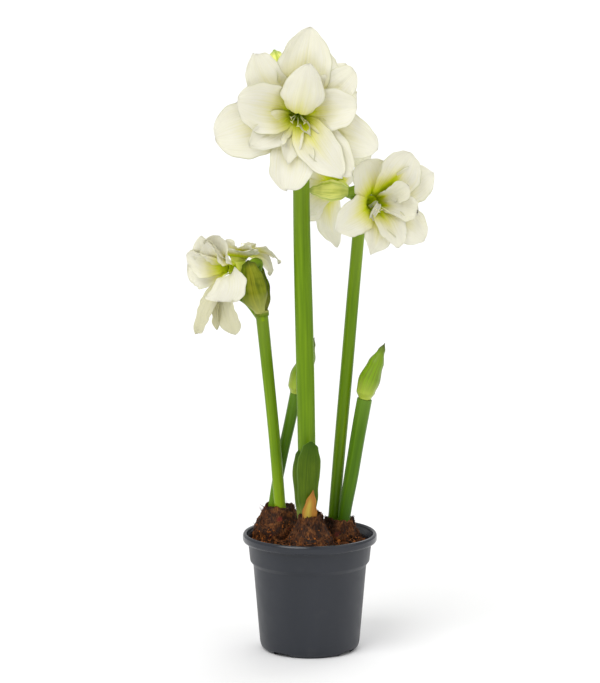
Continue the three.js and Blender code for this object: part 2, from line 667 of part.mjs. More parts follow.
// A leaf-like surface along a path. Its breadth goes through the stops in `widths`, its face looks
// along `face`, and its edges bend away from that side by `cup` radians.
function leafSurface({ path, face, widths, cup }, wider = 0) {
  const line = curve(...path);
  const out = point(...face).normalize();
  return (u, s) => {
    const k = Math.min(1, Math.max(0, s));
    const ahead = line.getTangentAt(k);
    const centre = line.getPointAt(k).addScaledVector(ahead, (s - k) * END_REACH);
    const normal = out.clone().addScaledVector(ahead, -out.dot(ahead)).normalize();
    const across = ahead.clone().cross(normal);
    const half = ramp(widths, k) / 2 + wider;
    return centre
      .addScaledVector(across, (half * Math.sin(cup * u)) / cup)
      .addScaledVector(normal, (-half * (1 - Math.cos(cup * u))) / cup);
  };
}
const LEAF_ALONG = [0, 0.2, 0.4, 0.6, 0.78, 0.91, 1];
const LEAF_ACROSS = [-1, -0.5, 0, 0.5, 1];

// Each is bedded a little way down in its bulb's neck. bulb_scale_tip is the papery tip of a dry
// scale that still hugs the young leaves.
const LEAVES = {
  leaf_front: {
    path: [[-1, -38.6, 151], [-2.3, -41.2, 178], [-1.5, -44, 212], [1, -49, 244]],
    face: [0, -1, 0.1], cup: 0.5,
    widths: [[0, 13], [0.35, 24], [0.75, 27], [0.92, 18], [1, 5]],
  },
  leaf_behind: {
    path: [[-11.2, -31, 151], [-13.6, -33, 180], [-15, -34, 210], [-12.2, -35, 232]],
    face: [-0.6, -0.8, 0.1], cup: 0.35,
    widths: [[0, 6], [0.35, 10], [0.75, 12], [0.92, 8], [1, 3]],
  },
  bulb_scale_tip: {
    path: [[-0.6, -41.6, 151], [-0.2, -44.8, 165], [1.6, -47.5, 178], [3.6, -48.8, 190]],
    face: [0, -1, 0], cup: 0.6,
    widths: [[0, 16], [0.28, 17.5], [0.6, 12.5], [1, 2]],
  },
};
const LEAF_THICKNESS = 1.2;
function leafBlade(shape, grow = 0) {
  const along = [-grow / END_REACH, ...LEAF_ALONG.slice(1)];
  return blade(leafSurface(shape, grow), along, LEAF_ACROSS, LEAF_THICKNESS + 2 * grow);
}

const VALVE_GRID = [[0, 0.2, 0.42, 0.66, 0.86, 1], [-1, -0.35, 0.35, 1]];
const WITHERED_GRID = [[0, 0.4, 0.75, 1], [-1, 0, 1]];
// A spathe has opened round each head: two papery valves on a ring that grips the stem's top. The
// stem and its stalks pass through with a gap all round.
const SPATHES = {
  spathe_left: {
    stem: "stem_left", grid: VALVE_GRID,
    valves: [
      {
        path: [[-53.8, -2.4, 378], [-60.5, -12.5, 397], [-64.5, -19.5, 421], [-68, -24, 441]],
        face: [-0.1, -1, 0.05], cup: 0.85,
        widths: [[0, 13], [0.34, 34], [0.68, 30], [0.9, 17], [1, 7]],
      },
      {
        path: [[-51, 11, 378], [-50.6, 17, 398], [-54.6, 19, 418], [-61, 16, 438]],
        face: [0.35, 0.94, 0.05], cup: 0.9,
        widths: [[0, 11], [0.4, 24], [0.75, 17], [1, 5]],
      },
    ],
  },
  spathe_centre: {
    stem: "stem_centre",
    valves: [
      {
        path: [[-18.4, -16, 548], [-26, -18, 562], [-30, -19, 578], [-29, -19, 596]],
        face: [-1, 0, 0.1], cup: 0.7,
        widths: [[0, 13], [0.4, 19], [1, 5]],
      },
      {
        path: [[-1.6, -16, 548], [6, -18, 562], [10, -20, 578], [8, -21, 592]],
        face: [1, 0, 0.1], cup: 0.7,
        widths: [[0, 13], [0.4, 19], [1, 5]],
      },
    ],
  },
  spathe_right: {
    stem: "stem_right",
    valves: [
      {
        path: [[61, 10, 473], [69, 11, 482], [73, 13, 494], [71, 15, 508]],
        face: [1, 0, 0.1], cup: 0.7,
        widths: [[0, 10], [0.4, 15], [1, 5]],
      },
      {
        path: [[50.2, 15.4, 473], [45, 22, 479], [42, 26, 485], [41, 28, 491]],
        face: [-0.5, 0.9, 0.1], cup: 0.7,
        widths: [[0, 9], [0.4, 13], [1, 5]],
      },
    ],
  },
};
const VALVE_THICKNESS = 1;
const COLLAR_WALL = 1.3;
const COLLAR_REACH = 3; // how far the ring goes below the stem's top, and above it

function spathe({ stem, valves, grid = WITHERED_GRID }) {
  const line = curve(...STEMS[stem].path);
  const end = line.getPointAt(1);
  const reach = line.getTangentAt(1).multiplyScalar(COLLAR_REACH);
  const middle = new THREE.LineCurve3(end.clone().sub(reach), end.clone().add(reach));
  const collar = bar(middle, 2, STEM_SIDES, () => STEMS[stem].radius.at(-1) + COLLAR_WALL);
  const blades = valves.map((shape) => blade(leafSurface(shape), ...grid, VALVE_THICKNESS));
  return largest(Manifold.union([collar, ...blades]).subtract(stemBody(stem, GAP)));
}

// ---------------------------------------------------------------- assembly
add("pot", pot(), POT_PLASTIC);
add("soil", soil(), PEAT);
for (const [name, shape] of Object.entries(BULBS)) add(name, bulb(shape), BULB_SKIN);
for (const name of Object.keys(STEMS)) add(name, stemBody(name), STEM_GREEN);
for (const [name, shape] of Object.entries(SPATHES)) add(name, spathe(shape), SPATHE_OLIVE);
for (const [name, shape] of Object.entries(CLOSED_BUDS)) add(name, closedBud(shape), BUD_GREEN);
for (const [name, shape] of Object.entries(FLOWER_BUDS))
  add(name, flowerBud(shape), BUD_GREEN).applyMatrix4(poseOf(shape));
for (const [name, shape] of Object.entries(LEAVES))
  add(name, leafBlade(shape), name === "bulb_scale_tip" ? DRY_SCALE : LEAF_GREEN);
for (const [name, shape] of Object.entries(BLOOMS))
  add(name, bloom(shape), TEPAL_WHITE).applyMatrix4(poseOf(shape));

export default group;
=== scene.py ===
# %% [markdown]
# # A double white amaryllis in a nursery pot
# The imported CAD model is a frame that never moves: it says where every piece of the plant stands.
# This lesson grows finer pieces in those places. The blades of the blooms are thin skins bent by a
# formula, the stems and threads are swept along paths by Geometry Nodes, the peat is strewn by
# Geometry Nodes, and the pot is turned from one outline. Lengths are written in millimetres and
# become metres only when a mesh is made.

import math

import bpy
import numpy as np
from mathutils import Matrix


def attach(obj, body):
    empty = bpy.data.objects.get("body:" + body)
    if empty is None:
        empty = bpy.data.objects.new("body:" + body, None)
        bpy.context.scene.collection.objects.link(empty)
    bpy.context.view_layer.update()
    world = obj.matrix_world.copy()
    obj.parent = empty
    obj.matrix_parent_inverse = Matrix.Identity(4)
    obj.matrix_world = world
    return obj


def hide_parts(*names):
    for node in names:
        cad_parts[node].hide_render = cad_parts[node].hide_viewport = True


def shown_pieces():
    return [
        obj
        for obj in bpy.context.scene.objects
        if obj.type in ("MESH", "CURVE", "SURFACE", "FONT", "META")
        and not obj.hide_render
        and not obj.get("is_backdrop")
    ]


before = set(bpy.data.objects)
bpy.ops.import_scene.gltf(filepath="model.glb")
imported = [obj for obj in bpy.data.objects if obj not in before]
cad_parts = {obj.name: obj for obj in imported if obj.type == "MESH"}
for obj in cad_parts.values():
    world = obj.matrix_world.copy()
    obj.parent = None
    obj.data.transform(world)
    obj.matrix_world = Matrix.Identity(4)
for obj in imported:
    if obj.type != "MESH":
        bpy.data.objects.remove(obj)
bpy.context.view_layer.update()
MM = 0.001

# %% [markdown]
# ## Camera, floor and light
# A long lens from three metres away looks slightly down on the plant, so that the pot's mouth shows
# as a narrow ellipse. The light is the even light of a white studio: a bright sky all round, a wide
# soft light from the upper left in front and weaker ones from the right and behind, which shine
# through the thin tepals. The lights are far off and wide, so the plain white floor stays even.

# %% Camera
SENSOR = 36
FOCAL_PIXELS = 2743  # focal length in pixels of an image that is 683 pixels high
IMAGE_HEIGHT = 683
PITCH_DOWN = 0.1498
CAMERA_PLACE = (-11 * MM, -3000 * MM, 800 * MM)

lens = bpy.data.cameras.new("studio_camera")
lens.sensor_width = SENSOR
lens.lens = SENSOR * FOCAL_PIXELS / IMAGE_HEIGHT
lens.clip_end = 200
camera = bpy.data.objects.new("studio_camera", lens)
camera.location = CAMERA_PLACE
camera.rotation_euler = (math.pi / 2 - PITCH_DOWN, 0, 0)
scene = bpy.context.scene
scene.collection.objects.link(camera)
scene.camera = camera
scene.view_settings.view_transform = "Standard"
print("lens", round(lens.lens, 1), "mm")


# %% Small helpers for nodes
class Tree:
    """A node tree that is being put together. A socket takes a value or another node's output."""

    def __init__(self, tree):
        self.tree = tree

    def fill(self, socket, value):
        if isinstance(value, bpy.types.NodeSocket):
            self.tree.links.new(value, socket)
        else:
            socket.default_value = value

    def add(self, kind, sockets=None, **settings):
        made = self.tree.nodes.new(kind)
        for setting, value in settings.items():
            setattr(made, setting, value)
        for name, value in (sockets or {}).items():
            self.fill(made.inputs[name], value)
        return made

    def make(self, kind, sockets=None, **settings):
        """Adds a node and returns its first output."""
        return self.add(kind, sockets, **settings).outputs[0]

    def maths(self, how, a, b=0.0, c=0.0):
        return self.make("ShaderNodeMath", {0: a, 1: b, 2: c}, operation=how)

    def split(self, vector):
        return self.add("ShaderNodeSeparateXYZ", {0: vector}).outputs


# %% Finishes
class Finish(Tree):
    """A procedural material that is being put together round its Principled shader."""

    def __init__(self, name, **sockets):
        self.material = bpy.data.materials.new(name)
        self.material.use_nodes = True
        super().__init__(self.material.node_tree)
        self.shader = self.tree.nodes["Principled BSDF"]
        self.wear(**sockets)

    def wear(self, **sockets):
        """Fills the shader's own sockets, with an underscore for each space of their names."""
        for name, value in sockets.items():
            self.fill(self.shader.inputs[name.replace("_", " ")], value)

    def here(self):
        """Where a point lies on the object, in metres."""
        return self.add("ShaderNodeTexCoord").outputs["Object"]

    def number(self, name):
        """A number that the points of the piece carry."""
        return self.add("ShaderNodeAttribute", attribute_name=name).outputs["Fac"]

    def vector(self, name):
        """A vector that the points of the piece carry, whole and as its three numbers."""
        whole = self.add("ShaderNodeAttribute", attribute_name=name).outputs["Vector"]
        return whole, self.split(whole)

    def noise(self, where, scale, detail=3.0):
        """A noise of this many lumps a unit; three numbers stretch it, each along its axis."""
        if isinstance(scale, tuple):
            where, scale = self.make("ShaderNodeMapping", {"Vector": where, "Scale": scale}), 1.0
        return self.make("ShaderNodeTexNoise", {"Vector": where, "Scale": scale, "Detail": detail})

    def between(self, value, low, high, to_low=0.0, to_high=1.0):
        """Goes from to_low to to_high as the value goes from low to high, and stays within them."""
        sockets = {"Value": value, "From Min": low, "From Max": high, "To Min": to_low, "To Max": to_high}
        return self.make("ShaderNodeMapRange", sockets)

    def shades(self, value, *stops):
        """A colour for each value; stops are (share, (r, g, b)) in order."""
        node = self.add("ShaderNodeValToRGB", {"Fac": value})
        elements = node.color_ramp.elements
        while len(elements) < len(stops):
            elements.new(1.0)
        for element, (share, colour) in zip(elements, stops):
            element.position = share
            element.color = (*colour, 1.0)
        return node.outputs["Color"]

    def blend(self, share, first, second, how="MIX"):
        """The first colour at a share of 0, the second at 1; both are (r, g, b) or an output."""
        node = self.add("ShaderNodeMix", {0: share}, data_type="RGBA", blend_type=how)
        for index, colour in ((6, first), (7, second)):
            self.fill(node.inputs[index], (*colour, 1.0) if isinstance(colour, tuple) else colour)
        return node.outputs[2]

    def darken(self, share, colour, by):
        """Multiplies a share of the colour by another."""
        return self.blend(share, colour, by, "MULTIPLY")

    def coated(self, colour, *coats):
        """The colour under coats (share, colour), each over the one before."""
        for share, coat in coats:
            colour = self.blend(share, colour, coat)
        return colour

    def relief(self, height, depth, under=None):
        """A bump of this depth in millimetres, over an earlier one if it is given."""
        sockets = {"Height": height, "Distance": depth * MM}
        if under is not None:
            sockets["Normal"] = under
        return self.make("ShaderNodeBump", sockets)

    def through(self, colour, share):
        """Lets a share of the light pass through a thin skin, tinted by the colour."""
        passing = self.make("ShaderNodeBsdfTranslucent", {"Color": colour})
        mixed = self.make("ShaderNodeMixShader", {0: share, 1: self.shader.outputs[0], 2: passing})
        self.fill(self.tree.nodes["Material Output"].inputs["Surface"], mixed)


# %% Floor
FLOOR_HALF = 60.0

paper = Finish("white_paper_floor", Roughness=0.9)
patches = paper.noise(paper.here(), 1.5)
paper.wear(
    Base_Color=paper.shades(patches, (0.3, (0.93, 0.93, 0.93)), (0.7, (0.95, 0.95, 0.95))),
    Normal=paper.relief(paper.noise(paper.here(), 900), 0.02),
)
floor_mesh = bpy.data.meshes.new("studio_floor")
corners = [(x * FLOOR_HALF, y * FLOOR_HALF, 0) for x, y in ((-1, -1), (1, -1), (1, 1), (-1, 1))]
floor_mesh.from_pydata(corners, [], [(0, 1, 2, 3)])
floor_mesh.materials.append(paper.material)
floor = bpy.data.objects.new("studio_floor", floor_mesh)
scene.collection.objects.link(floor)
floor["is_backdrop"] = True
print("floor", 2 * FLOOR_HALF, "m wide")

# %% Light
SKY_LIGHT = 0.62
SUNS = {  # where each shines from, how wide it is in degrees, strength
    "key_light": ((-0.62, -0.85, 1.15), 40, 1.45),
    "fill_light": ((0.9, -0.6, 0.75), 60, 0.35),
    "back_light": ((0.35, 0.85, 1.0), 50, 0.75),
}

sky = bpy.data.worlds.new("studio_sky")
sky.use_nodes = True
sky.node_tree.nodes["Background"].inputs["Color"].default_value = (1, 1, 1, 1)
sky.node_tree.nodes["Background"].inputs["Strength"].default_value = SKY_LIGHT
scene.world = sky
for name, (source, wide, strength) in SUNS.items():
    light = bpy.data.lights.new(name, "SUN")
    light.angle = math.radians(wide)
    light.energy = strength
    lamp = bpy.data.objects.new(name, light)
    flat = math.hypot(source[0], source[1])
    lamp.rotation_euler = (math.atan2(flat, source[2]), 0, math.atan2(source[0], -source[1]))
    scene.collection.objects.link(lamp)
print("suns", list(SUNS))


# %% [markdown]
# ## The shared geometry tools
# A leaf or a tepal is a sheet: a grid of points with u across it and k along it. Closing it means
# laying the grid twice, a little apart, with one shared border, so that the blade gets thin towards
# its edge like the real one. Round things are stacks of rings. Both are plain arrays of points, and
# a few smooth waves with random directions give them the dents of something that has grown.

# %% Numbers and curves
WAVES = 24  # how many plain waves add up to one field of dents


def mix(a, b, t):
    return a + (b - a) * t


def ease(t):
    """Goes from 0 to 1 as t does, with soft ends."""
    k = np.clip(t, 0.0, 1.0)
    return k * k * (3 - 2 * k)


def ramp(stops, t):
    """A value eased between the stops (share, value), for an array of shares t."""
    shares, values = np.array(stops, float).T
    index = np.clip(np.searchsorted(shares, t, side="left"), 1, len(shares) - 1)
    low, high = shares[index - 1], shares[index]
    return mix(values[index - 1], values[index], ease((t - low) / (high - low)))


def unit(v):
    return v / np.linalg.norm(v, axis=-1, keepdims=True)


def xyz(x, y, z):
    """Vectors from three numbers or arrays that fit each other."""
    return np.stack(np.broadcast_arrays(x, y, z), -1)


def circle(count):
    """This many angles, evenly round a full turn."""
    return np.linspace(0, 2 * math.pi, count, endpoint=False)


def waves(points, size, seed):
    """Smooth random heights between about -1 and 1, whose hills are `size` millimetres apart."""
    rng = np.random.default_rng(seed)
    headings = unit(rng.normal(size=(WAVES, 3)))
    pace = 2 * math.pi / size * rng.uniform(0.6, 1.6, WAVES)
    phase = rng.uniform(0, 2 * math.pi, WAVES)
    heights = np.sin(points.reshape(-1, 3) @ (headings * pace[:, None]).T + phase).sum(-1)
    return heights.reshape(points.shape[:-1]) / math.sqrt(WAVES / 2)


# %% Smooth paths
class Path:
    """A smooth curve through points, read by its share of the length: a centripetal Catmull-Rom."""

    PIECES = 40

    def __init__(self, points):
        p = np.array(points, float)
        p = np.vstack([2 * p[0] - p[1], p, 2 * p[-1] - p[-2]])
        k = np.linspace(0, 1, self.PIECES, endpoint=False)[:, None]
        spots = []
        for a, b, c, d in zip(p, p[1:], p[2:], p[3:]):
            before, here, after = (np.linalg.norm(w - v) ** 0.5 for v, w in ((a, b), (b, c), (c, d)))
            first = ((b - a) / before - (c - a) / (before + here) + (c - b) / here) * here
            second = ((c - b) / here - (d - b) / (here + after) + (d - c) / after) * here
            bend = -3 * b + 3 * c - 2 * first - second
            spots.append(b + first * k + bend * k**2 + (2 * b - 2 * c + first + second) * k**3)
        self.spots = np.vstack([*spots, p[-2:-1]])
        steps = np.linalg.norm(np.diff(self.spots, axis=0), axis=1)
        self.shares = np.concatenate([[0], np.cumsum(steps)]) / steps.sum()
        self.headings = unit(np.gradient(self.spots, self.shares, axis=0))

    def read(self, vectors, t):
        return np.stack([np.interp(t, self.shares, axis) for axis in vectors.T], -1)

    def at(self, t):
        return self.read(self.spots, t)

    def ahead(self, t):
        return unit(self.read(self.headings, t))


print("halfway along a bent path:", Path([(0, 0, 0), (10, 0, 5), (20, 0, 20)]).at(0.5).round(1))


# %% Grids, shells and rings
def outwards(points, faces):
    """The faces, turned over if the closed shape was inside out."""
    a, b, c, d = (points[faces[:, i]] for i in range(4))
    volume = np.einsum("ij,ij->i", a, np.cross(b, c) + np.cross(c, d)).sum()
    return faces if volume > 0 else faces[:, ::-1]


def facing(sheet):
    """The direction that each point of a sheet (rows, columns, 3) faces."""
    return unit(np.cross(np.gradient(sheet, axis=0), np.gradient(sheet, axis=1)))


def shell(sheet, normal, thickness):
    """Closes a sheet as a thin skin whose two faces share the border.
    Returns points, faces, and for each point the row and column of the sheet that it came from."""
    rows, columns = sheet.shape[:2]
    front = np.arange(rows * columns).reshape(rows, columns)
    back = front.copy()
    back[1:-1, 1:-1] = rows * columns + np.arange((rows - 2) * (columns - 2)).reshape(rows - 2, -1)
    thick = np.broadcast_to(thickness, (rows, columns)).copy()
    thick[[0, -1]] = 0
    thick[:, [0, -1]] = 0
    lift = normal * thick[..., None] / 2
    points = np.concatenate([(sheet + lift).reshape(-1, 3), (sheet - lift)[1:-1, 1:-1].reshape(-1, 3)])
    quads = []
    for grid, step in ((front, 1), (back, -1)):
        quad = np.stack([grid[:-1, :-1], grid[:-1, 1:], grid[1:, 1:], grid[1:, :-1]], -1)
        quads.append(quad.reshape(-1, 4)[:, ::step])
    source = np.concatenate([front.reshape(-1), front[1:-1, 1:-1].reshape(-1)])
    return points, outwards(points, np.concatenate(quads)), source


def ring_faces(rows, sides, endless=False):
    """Faces from ring to ring of a stack; an endless one also joins its last ring to its first."""
    grid = np.arange(rows * sides).reshape(rows, sides)
    if endless:
        grid = np.vstack([grid, grid[:1]])
    turned = np.roll(grid, -1, axis=1)
    return np.stack([grid[:-1], turned[:-1], turned[1:], grid[1:]], -1).reshape(-1, 4)


def stack(rings):
    """Closes a stack of rings (rows, sides, 3); the first and the last are filled to a middle point."""
    rows, sides = rings.shape[:2]
    here = np.arange(sides)
    after, last = np.roll(here, -1), (rows - 1) * sides
    caps = []
    for middle, first, second in ((rows * sides, after, here), (rows * sides + 1, last + here, last + after)):
        middles = np.full(sides, middle)
        caps.append(np.stack([middles, first, second, middles], -1))
    points = np.concatenate([rings.reshape(-1, 3), rings[[0, -1]].mean(1)])
    return points, outwards(points, np.concatenate([ring_faces(rows, sides), *caps]))


trial = stack(xyz(np.cos(circle(8)), np.sin(circle(8)), np.arange(3)[:, None]))
print("a closed stack of 3 rings:", len(trial[0]), "points,", len(trial[1]), "faces")


# %% Meshes and what they stand for
def face_lists(faces):
    """Faces as lists; one whose last corner repeats its first is a triangle."""
    return [list(f[:3]) if f[0] == f[3] else list(f) for f in faces.tolist()]


def link(name, mesh):
    made = bpy.data.objects.new(name, mesh)
    scene.collection.objects.link(made)
    return made


def build(name, parts, finish):
    """One object from parts (points, faces, {attribute: values}), in millimetres."""
    start, points, faces = 0, [], []
    for spots, quads, _ in parts:
        points.append(spots)
        faces.append(quads + start)
        start += len(spots)
    mesh = bpy.data.meshes.new(name)
    mesh.from_pydata((np.concatenate(points) * MM).tolist(), [], face_lists(np.concatenate(faces)))
    for key in parts[0][2]:
        values = np.concatenate([np.asarray(more[key], float) for _, _, more in parts])
        kind, field = ("FLOAT_VECTOR", "vector") if values.ndim == 2 else ("FLOAT", "value")
        mesh.attributes.new(key, kind, "POINT").data.foreach_set(field, values.ravel())
    mesh.materials.append(finish.material)
    mesh.shade_smooth()
    return link(name, mesh)


def settle(piece, slot, *nodes):
    """Tells the frame what a finished piece is: its body, and the nodes it stands for, which it hides. The
    slot argument is not used.
    """
    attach(piece, "root")
    if nodes:
        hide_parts(*nodes)
    print(piece.name, "polygons", len(piece.data.polygons), "for", ", ".join(nodes) or "no node")


# %% Geometry Nodes helpers
class Recipe(Tree):
    """A Geometry Nodes tree that is being put together, with named inputs for its sizes."""

    def __init__(self, name, **inputs):
        super().__init__(bpy.data.node_groups.new(name, "GeometryNodeTree"))
        face = self.tree.interface
        for label, kind in {"Geometry": "Geometry", **inputs, "Material": "Material"}.items():
            face.new_socket(label, in_out="INPUT", socket_type="NodeSocket" + kind)
        face.new_socket("Geometry", in_out="OUTPUT", socket_type="NodeSocketGeometry")
        self.given = self.add("NodeGroupInput").outputs

    def random(self, low, high, seed):
        """A random number, or a vector between two, for each point or instance."""
        if isinstance(low, tuple):
            sockets = {0: low, 1: high, 8: seed}
            return self.make("FunctionNodeRandomValue", sockets, data_type="FLOAT_VECTOR")
        return self.add("FunctionNodeRandomValue", {2: low, 3: high, 8: seed}, data_type="FLOAT").outputs[1]

    def scaled(self, vector, by):
        return self.make("ShaderNodeVectorMath", {0: vector, "Scale": by}, operation="SCALE")

    def attribute(self, name, kind="FLOAT"):
        return self.make("GeometryNodeInputNamedAttribute", {"Name": name}, data_type=kind)

    def store(self, geometry, name, value, kind="FLOAT"):
        """Keeps a value on every point under a name."""
        sockets = {"Geometry": geometry, "Name": name, "Value": value}
        return self.make("GeometryNodeStoreNamedAttribute", sockets, data_type=kind)

    def end(self, geometry):
        """Makes instances real, smooths the faces and gives them the material."""
        plain = self.make("GeometryNodeRealizeInstances", {"Geometry": geometry})
        soft = self.make("GeometryNodeSetShadeSmooth", {"Geometry": plain})
        painted = self.make("GeometryNodeSetMaterial", {"Geometry": soft, "Material": self.given["Material"]})
        self.add("NodeGroupOutput", {"Geometry": painted})


def cook(recipe, host, name, **inputs):
    """Runs a recipe on a host object and keeps the result as a plain mesh. The host goes."""
    work = host.modifiers.new("grow", "NODES")
    work.node_group = recipe.tree
    for item in recipe.tree.interface.items_tree:
        if item.in_out == "INPUT" and item.name in inputs:
            work[item.identifier] = inputs[item.name]
    depsgraph = bpy.context.evaluated_depsgraph_get()
    mesh = bpy.data.meshes.new_from_object(host.evaluated_get(depsgraph), depsgraph=depsgraph)
    mesh.name = name
    bpy.data.objects.remove(host)
    return link(name, mesh)


# %% [markdown]
# ## Sweeping round bars along paths
# Stems, stalks, stamens and loose fibres are all round bars on a path. The host is a mesh of bare
# edges whose points carry a radius, and the tree turns the edges into curves and sweeps a ribbed
# circle along them. Each point also keeps a `grain` vector: its place on the round section, and how
# far along it is. A streaky texture that reads it follows the stem round every bend.

# %% The sweep recipe
sweep = Recipe("sweep_along_path", Sides="Int", Ribs="Int", Depth="Float")
along = sweep.add("GeometryNodeSplineParameter").outputs
curve = sweep.make("GeometryNodeMeshToCurve", {"Mesh": sweep.given["Geometry"]})
curve = sweep.store(curve, "way", along["Length"])
curve = sweep.store(curve, "share", along["Factor"])
ring = sweep.make("GeometryNodeCurvePrimitiveCircle", {"Resolution": sweep.given["Sides"], "Radius": 1.0})
ring = sweep.store(ring, "section", sweep.make("GeometryNodeInputPosition"), "FLOAT_VECTOR")
section, girth = sweep.attribute("section", "FLOAT_VECTOR"), sweep.attribute("girth")
x, y, _ = sweep.split(section)
rib = sweep.maths("MULTIPLY", sweep.maths("ARCTAN2", y, x), sweep.given["Ribs"])
swell = sweep.maths("MULTIPLY_ADD", sweep.maths("COSINE", rib), sweep.given["Depth"], 1.0)
ring = sweep.make("GeometryNodeSetPosition", {"Geometry": ring, "Position": sweep.scaled(section, swell)})
bars = sweep.make("GeometryNodeCurveToMesh", {
    "Curve": curve, "Profile Curve": ring, "Scale": girth, "Fill Caps": True,
})
grain = sweep.make("ShaderNodeCombineXYZ", {
    0: sweep.maths("MULTIPLY", x, girth), 1: sweep.maths("MULTIPLY", y, girth), 2: sweep.attribute("way"),
})
sweep.end(sweep.store(bars, "grain", grain, "FLOAT_VECTOR"))
print("sweep recipe has", len(sweep.tree.nodes), "nodes")


# %% Hosts for the sweep
def strands(name, lines):
    """A mesh of bare edges from (points in mm, radii in mm) lines."""
    points, edges, girths = [], [], []
    for spots, radii in lines:
        first = len(girths)
        points.extend((np.asarray(spots) * MM).tolist())
        girths.extend((np.broadcast_to(radii, len(spots)) * MM).tolist())
        edges.extend((i, i + 1) for i in range(first, first + len(spots) - 1))
    mesh = bpy.data.meshes.new(name)
    mesh.from_pydata(points, edges, [])
    mesh.attributes.new("girth", "FLOAT", "POINT").data.foreach_set("value", girths)
    return link(name, mesh)


def swept(name, lines, finish, sides, ribs=0, depth=0.0):
    """The strands swept with a circle of this many sides, with ribs of a depth in its own radii."""
    host = strands(name + "_host", lines)
    return cook(sweep, host, name, Sides=sides, Ribs=ribs, Depth=depth, Material=finish.material)


# %% [markdown]
# ## Tepals
# A tepal grows from the rim of the green tube at the bloom's heart and arches away from the bloom's
# axis, like a leaf whose lean grows along it. Its sides follow the funnel that its layer forms round
# the throat. Sculpting sixty of them by hand would take days, so one formula bends them all and each
# has its own measures. The fine blade adds what makes a tepal alive: a groove along the middle, soft
# dents, a wavy edge and a thin rim.

# %% The measures of a tepal
TUBE_LENGTH = 26
TUBE_RADIUS = 5
THROAT_RADIUS = 9.5
ROOT_DEPTH = 4  # how far below the tube's rim a tepal starts, inside the tube's wall
LINE_STEPS = 96
ROWS, COLUMNS = 42, 29
SHARES = 1 - (1 - np.linspace(0, 1, ROWS)) ** 1.6  # closer together towards the tip
ACROSS = np.sin(np.linspace(-1.2, 1.2, COLUMNS)) / math.sin(1.2)  # and towards the edges
TEPAL_THICKNESS = 0.6
RIB_WIDTH, RIB_DEPTH = 1.5, 0.5
DENT_SIZE, DENT_DEPTH = 30, 0.8
LEAST_THROAT = 6  # the narrowest funnel that a tepal bends round
TEPAL = {
    "start": 14, "open": 50, "flare": 80, "curl": 10,  # its lean in degrees, from the root to the tip
    "hinge": 0.14, "bend": 0.5,  # where the lean goes from open to flare, as shares of the length
    "width": 56, "widest": 0.55, "claw": 0.2, "swell": 1.4, "blunt": 0.62,  # its outline
    "inset": 0.8,  # how far inside the throat its root stands
    "cup": 0.1, "funnel": 1,  # how far it bends across by itself, and round the throat
    "wave": 2, "waves": 1.5, "ruffle": 0.7, "pleat": 0.35,  # its unevenness: millimetres, and waves
    "sway": 0, "twist": 0,  # degrees by which its tip drifts aside and by which it rolls
    "green": 0.85, "fade": 0.5,  # how far the green goes, and how much less at the sides
    "streak": 0.35, "streak_width": 1.5, "streak_reach": 0.34,  # the green along its middle
    "age": 0,  # 1 for a tepal darkened and yellowed by painted shade
}
print("a tepal has", len(TEPAL), "measures and a grid of", ROWS, "by", COLUMNS, "points")


# %% The middle line and the outline of a tepal
def tepal_line(t):
    """How a tepal leans at a share s of its length, and the points of its middle line at SHARES."""
    def lean(s):
        rise = mix(t["start"], t["open"], ease(s / 0.3))
        flare = (t["flare"] - t["open"]) * ease((s - t["hinge"]) / t["bend"])
        return np.radians(rise + flare + t["curl"] * ease((s - 0.6) / 0.4))

    def heading(s):
        return np.stack([np.sin(lean(s)), np.zeros_like(s), np.cos(lean(s))], -1)

    middles = heading((np.arange(LINE_STEPS) + 0.5) / LINE_STEPS) / LINE_STEPS
    line = np.vstack([np.zeros(3), np.cumsum(middles, axis=0)])
    root = np.array([THROAT_RADIUS - t["inset"], 0, TUBE_LENGTH - ROOT_DEPTH])
    line = line * (t["spread"] - root[0]) / line[-1, 0] + root
    at = np.stack([np.interp(SHARES * LINE_STEPS, np.arange(LINE_STEPS + 1), axis) for axis in line.T], -1)
    return lean(SHARES), heading(SHARES), at


def tepal_half_width(t, s, side, seed):
    """Half the breadth, which differs a little from side to side."""
    claw = t["claw"] + (1 - t["claw"]) * np.sin(np.minimum(1, s / t["widest"]) * math.pi / 2) ** t["swell"]
    past = np.clip((s - t["widest"]) / (1 - t["widest"]), 0, 1)
    outline = claw * np.where(s <= t["widest"], 1, (1 - past**2) ** t["blunt"])
    uneven = 0.03 * np.sin(14 * s + seed + side) + 0.018 * np.sin(31 * s + 2 * seed - 2 * side)
    return t["width"] / 2 * np.maximum(0.03, outline) * (1 + uneven * np.abs(side))


# %% The sheet of a tepal
def tepal_sheet(t, k, u, half, seed):
    """The points of a tepal's sheet: its middle line, bent across, waved, frilled and rolled."""
    lean, ahead, centre = (a[:, None] for a in tepal_line(t))
    inward = xyz(-ahead[..., 2], ahead[..., 1], ahead[..., 0])
    funnel = t["funnel"] * half * np.maximum(0, np.cos(lean)) / np.maximum(LEAST_THROAT, centre[..., 0])
    bend = funnel + t["cup"] * 1.6 * ease((k - 0.2) / 0.4)
    bend = np.where(np.abs(bend) < 0.02, 0.02, bend)
    side = half * np.sin(bend * u) / bend
    rise = half * (1 - np.cos(bend * u)) / bend
    ripple = np.sin(2 * math.pi * t["waves"] * k + u * 1.3 + 3 * math.radians(t["around"]))
    rise = rise + t["wave"] * u**2 * ripple * ease((k - 0.2) / 0.3)
    frill = np.sin(29 * k + 2.2 * np.sin(9 * k + seed) + np.sign(u) + seed)
    rise = rise + t["ruffle"] * np.abs(u) ** 4 * frill * ease((k - 0.25) / 0.3)
    roll = np.radians(t["twist"]) * ease(k / 0.4)[..., None]
    across = np.cos(roll) * [0, 1, 0] + np.sin(roll) * inward
    above = np.cos(roll) * inward - np.sin(roll) * [0, 1, 0]
    return centre + side[..., None] * across + rise[..., None] * above


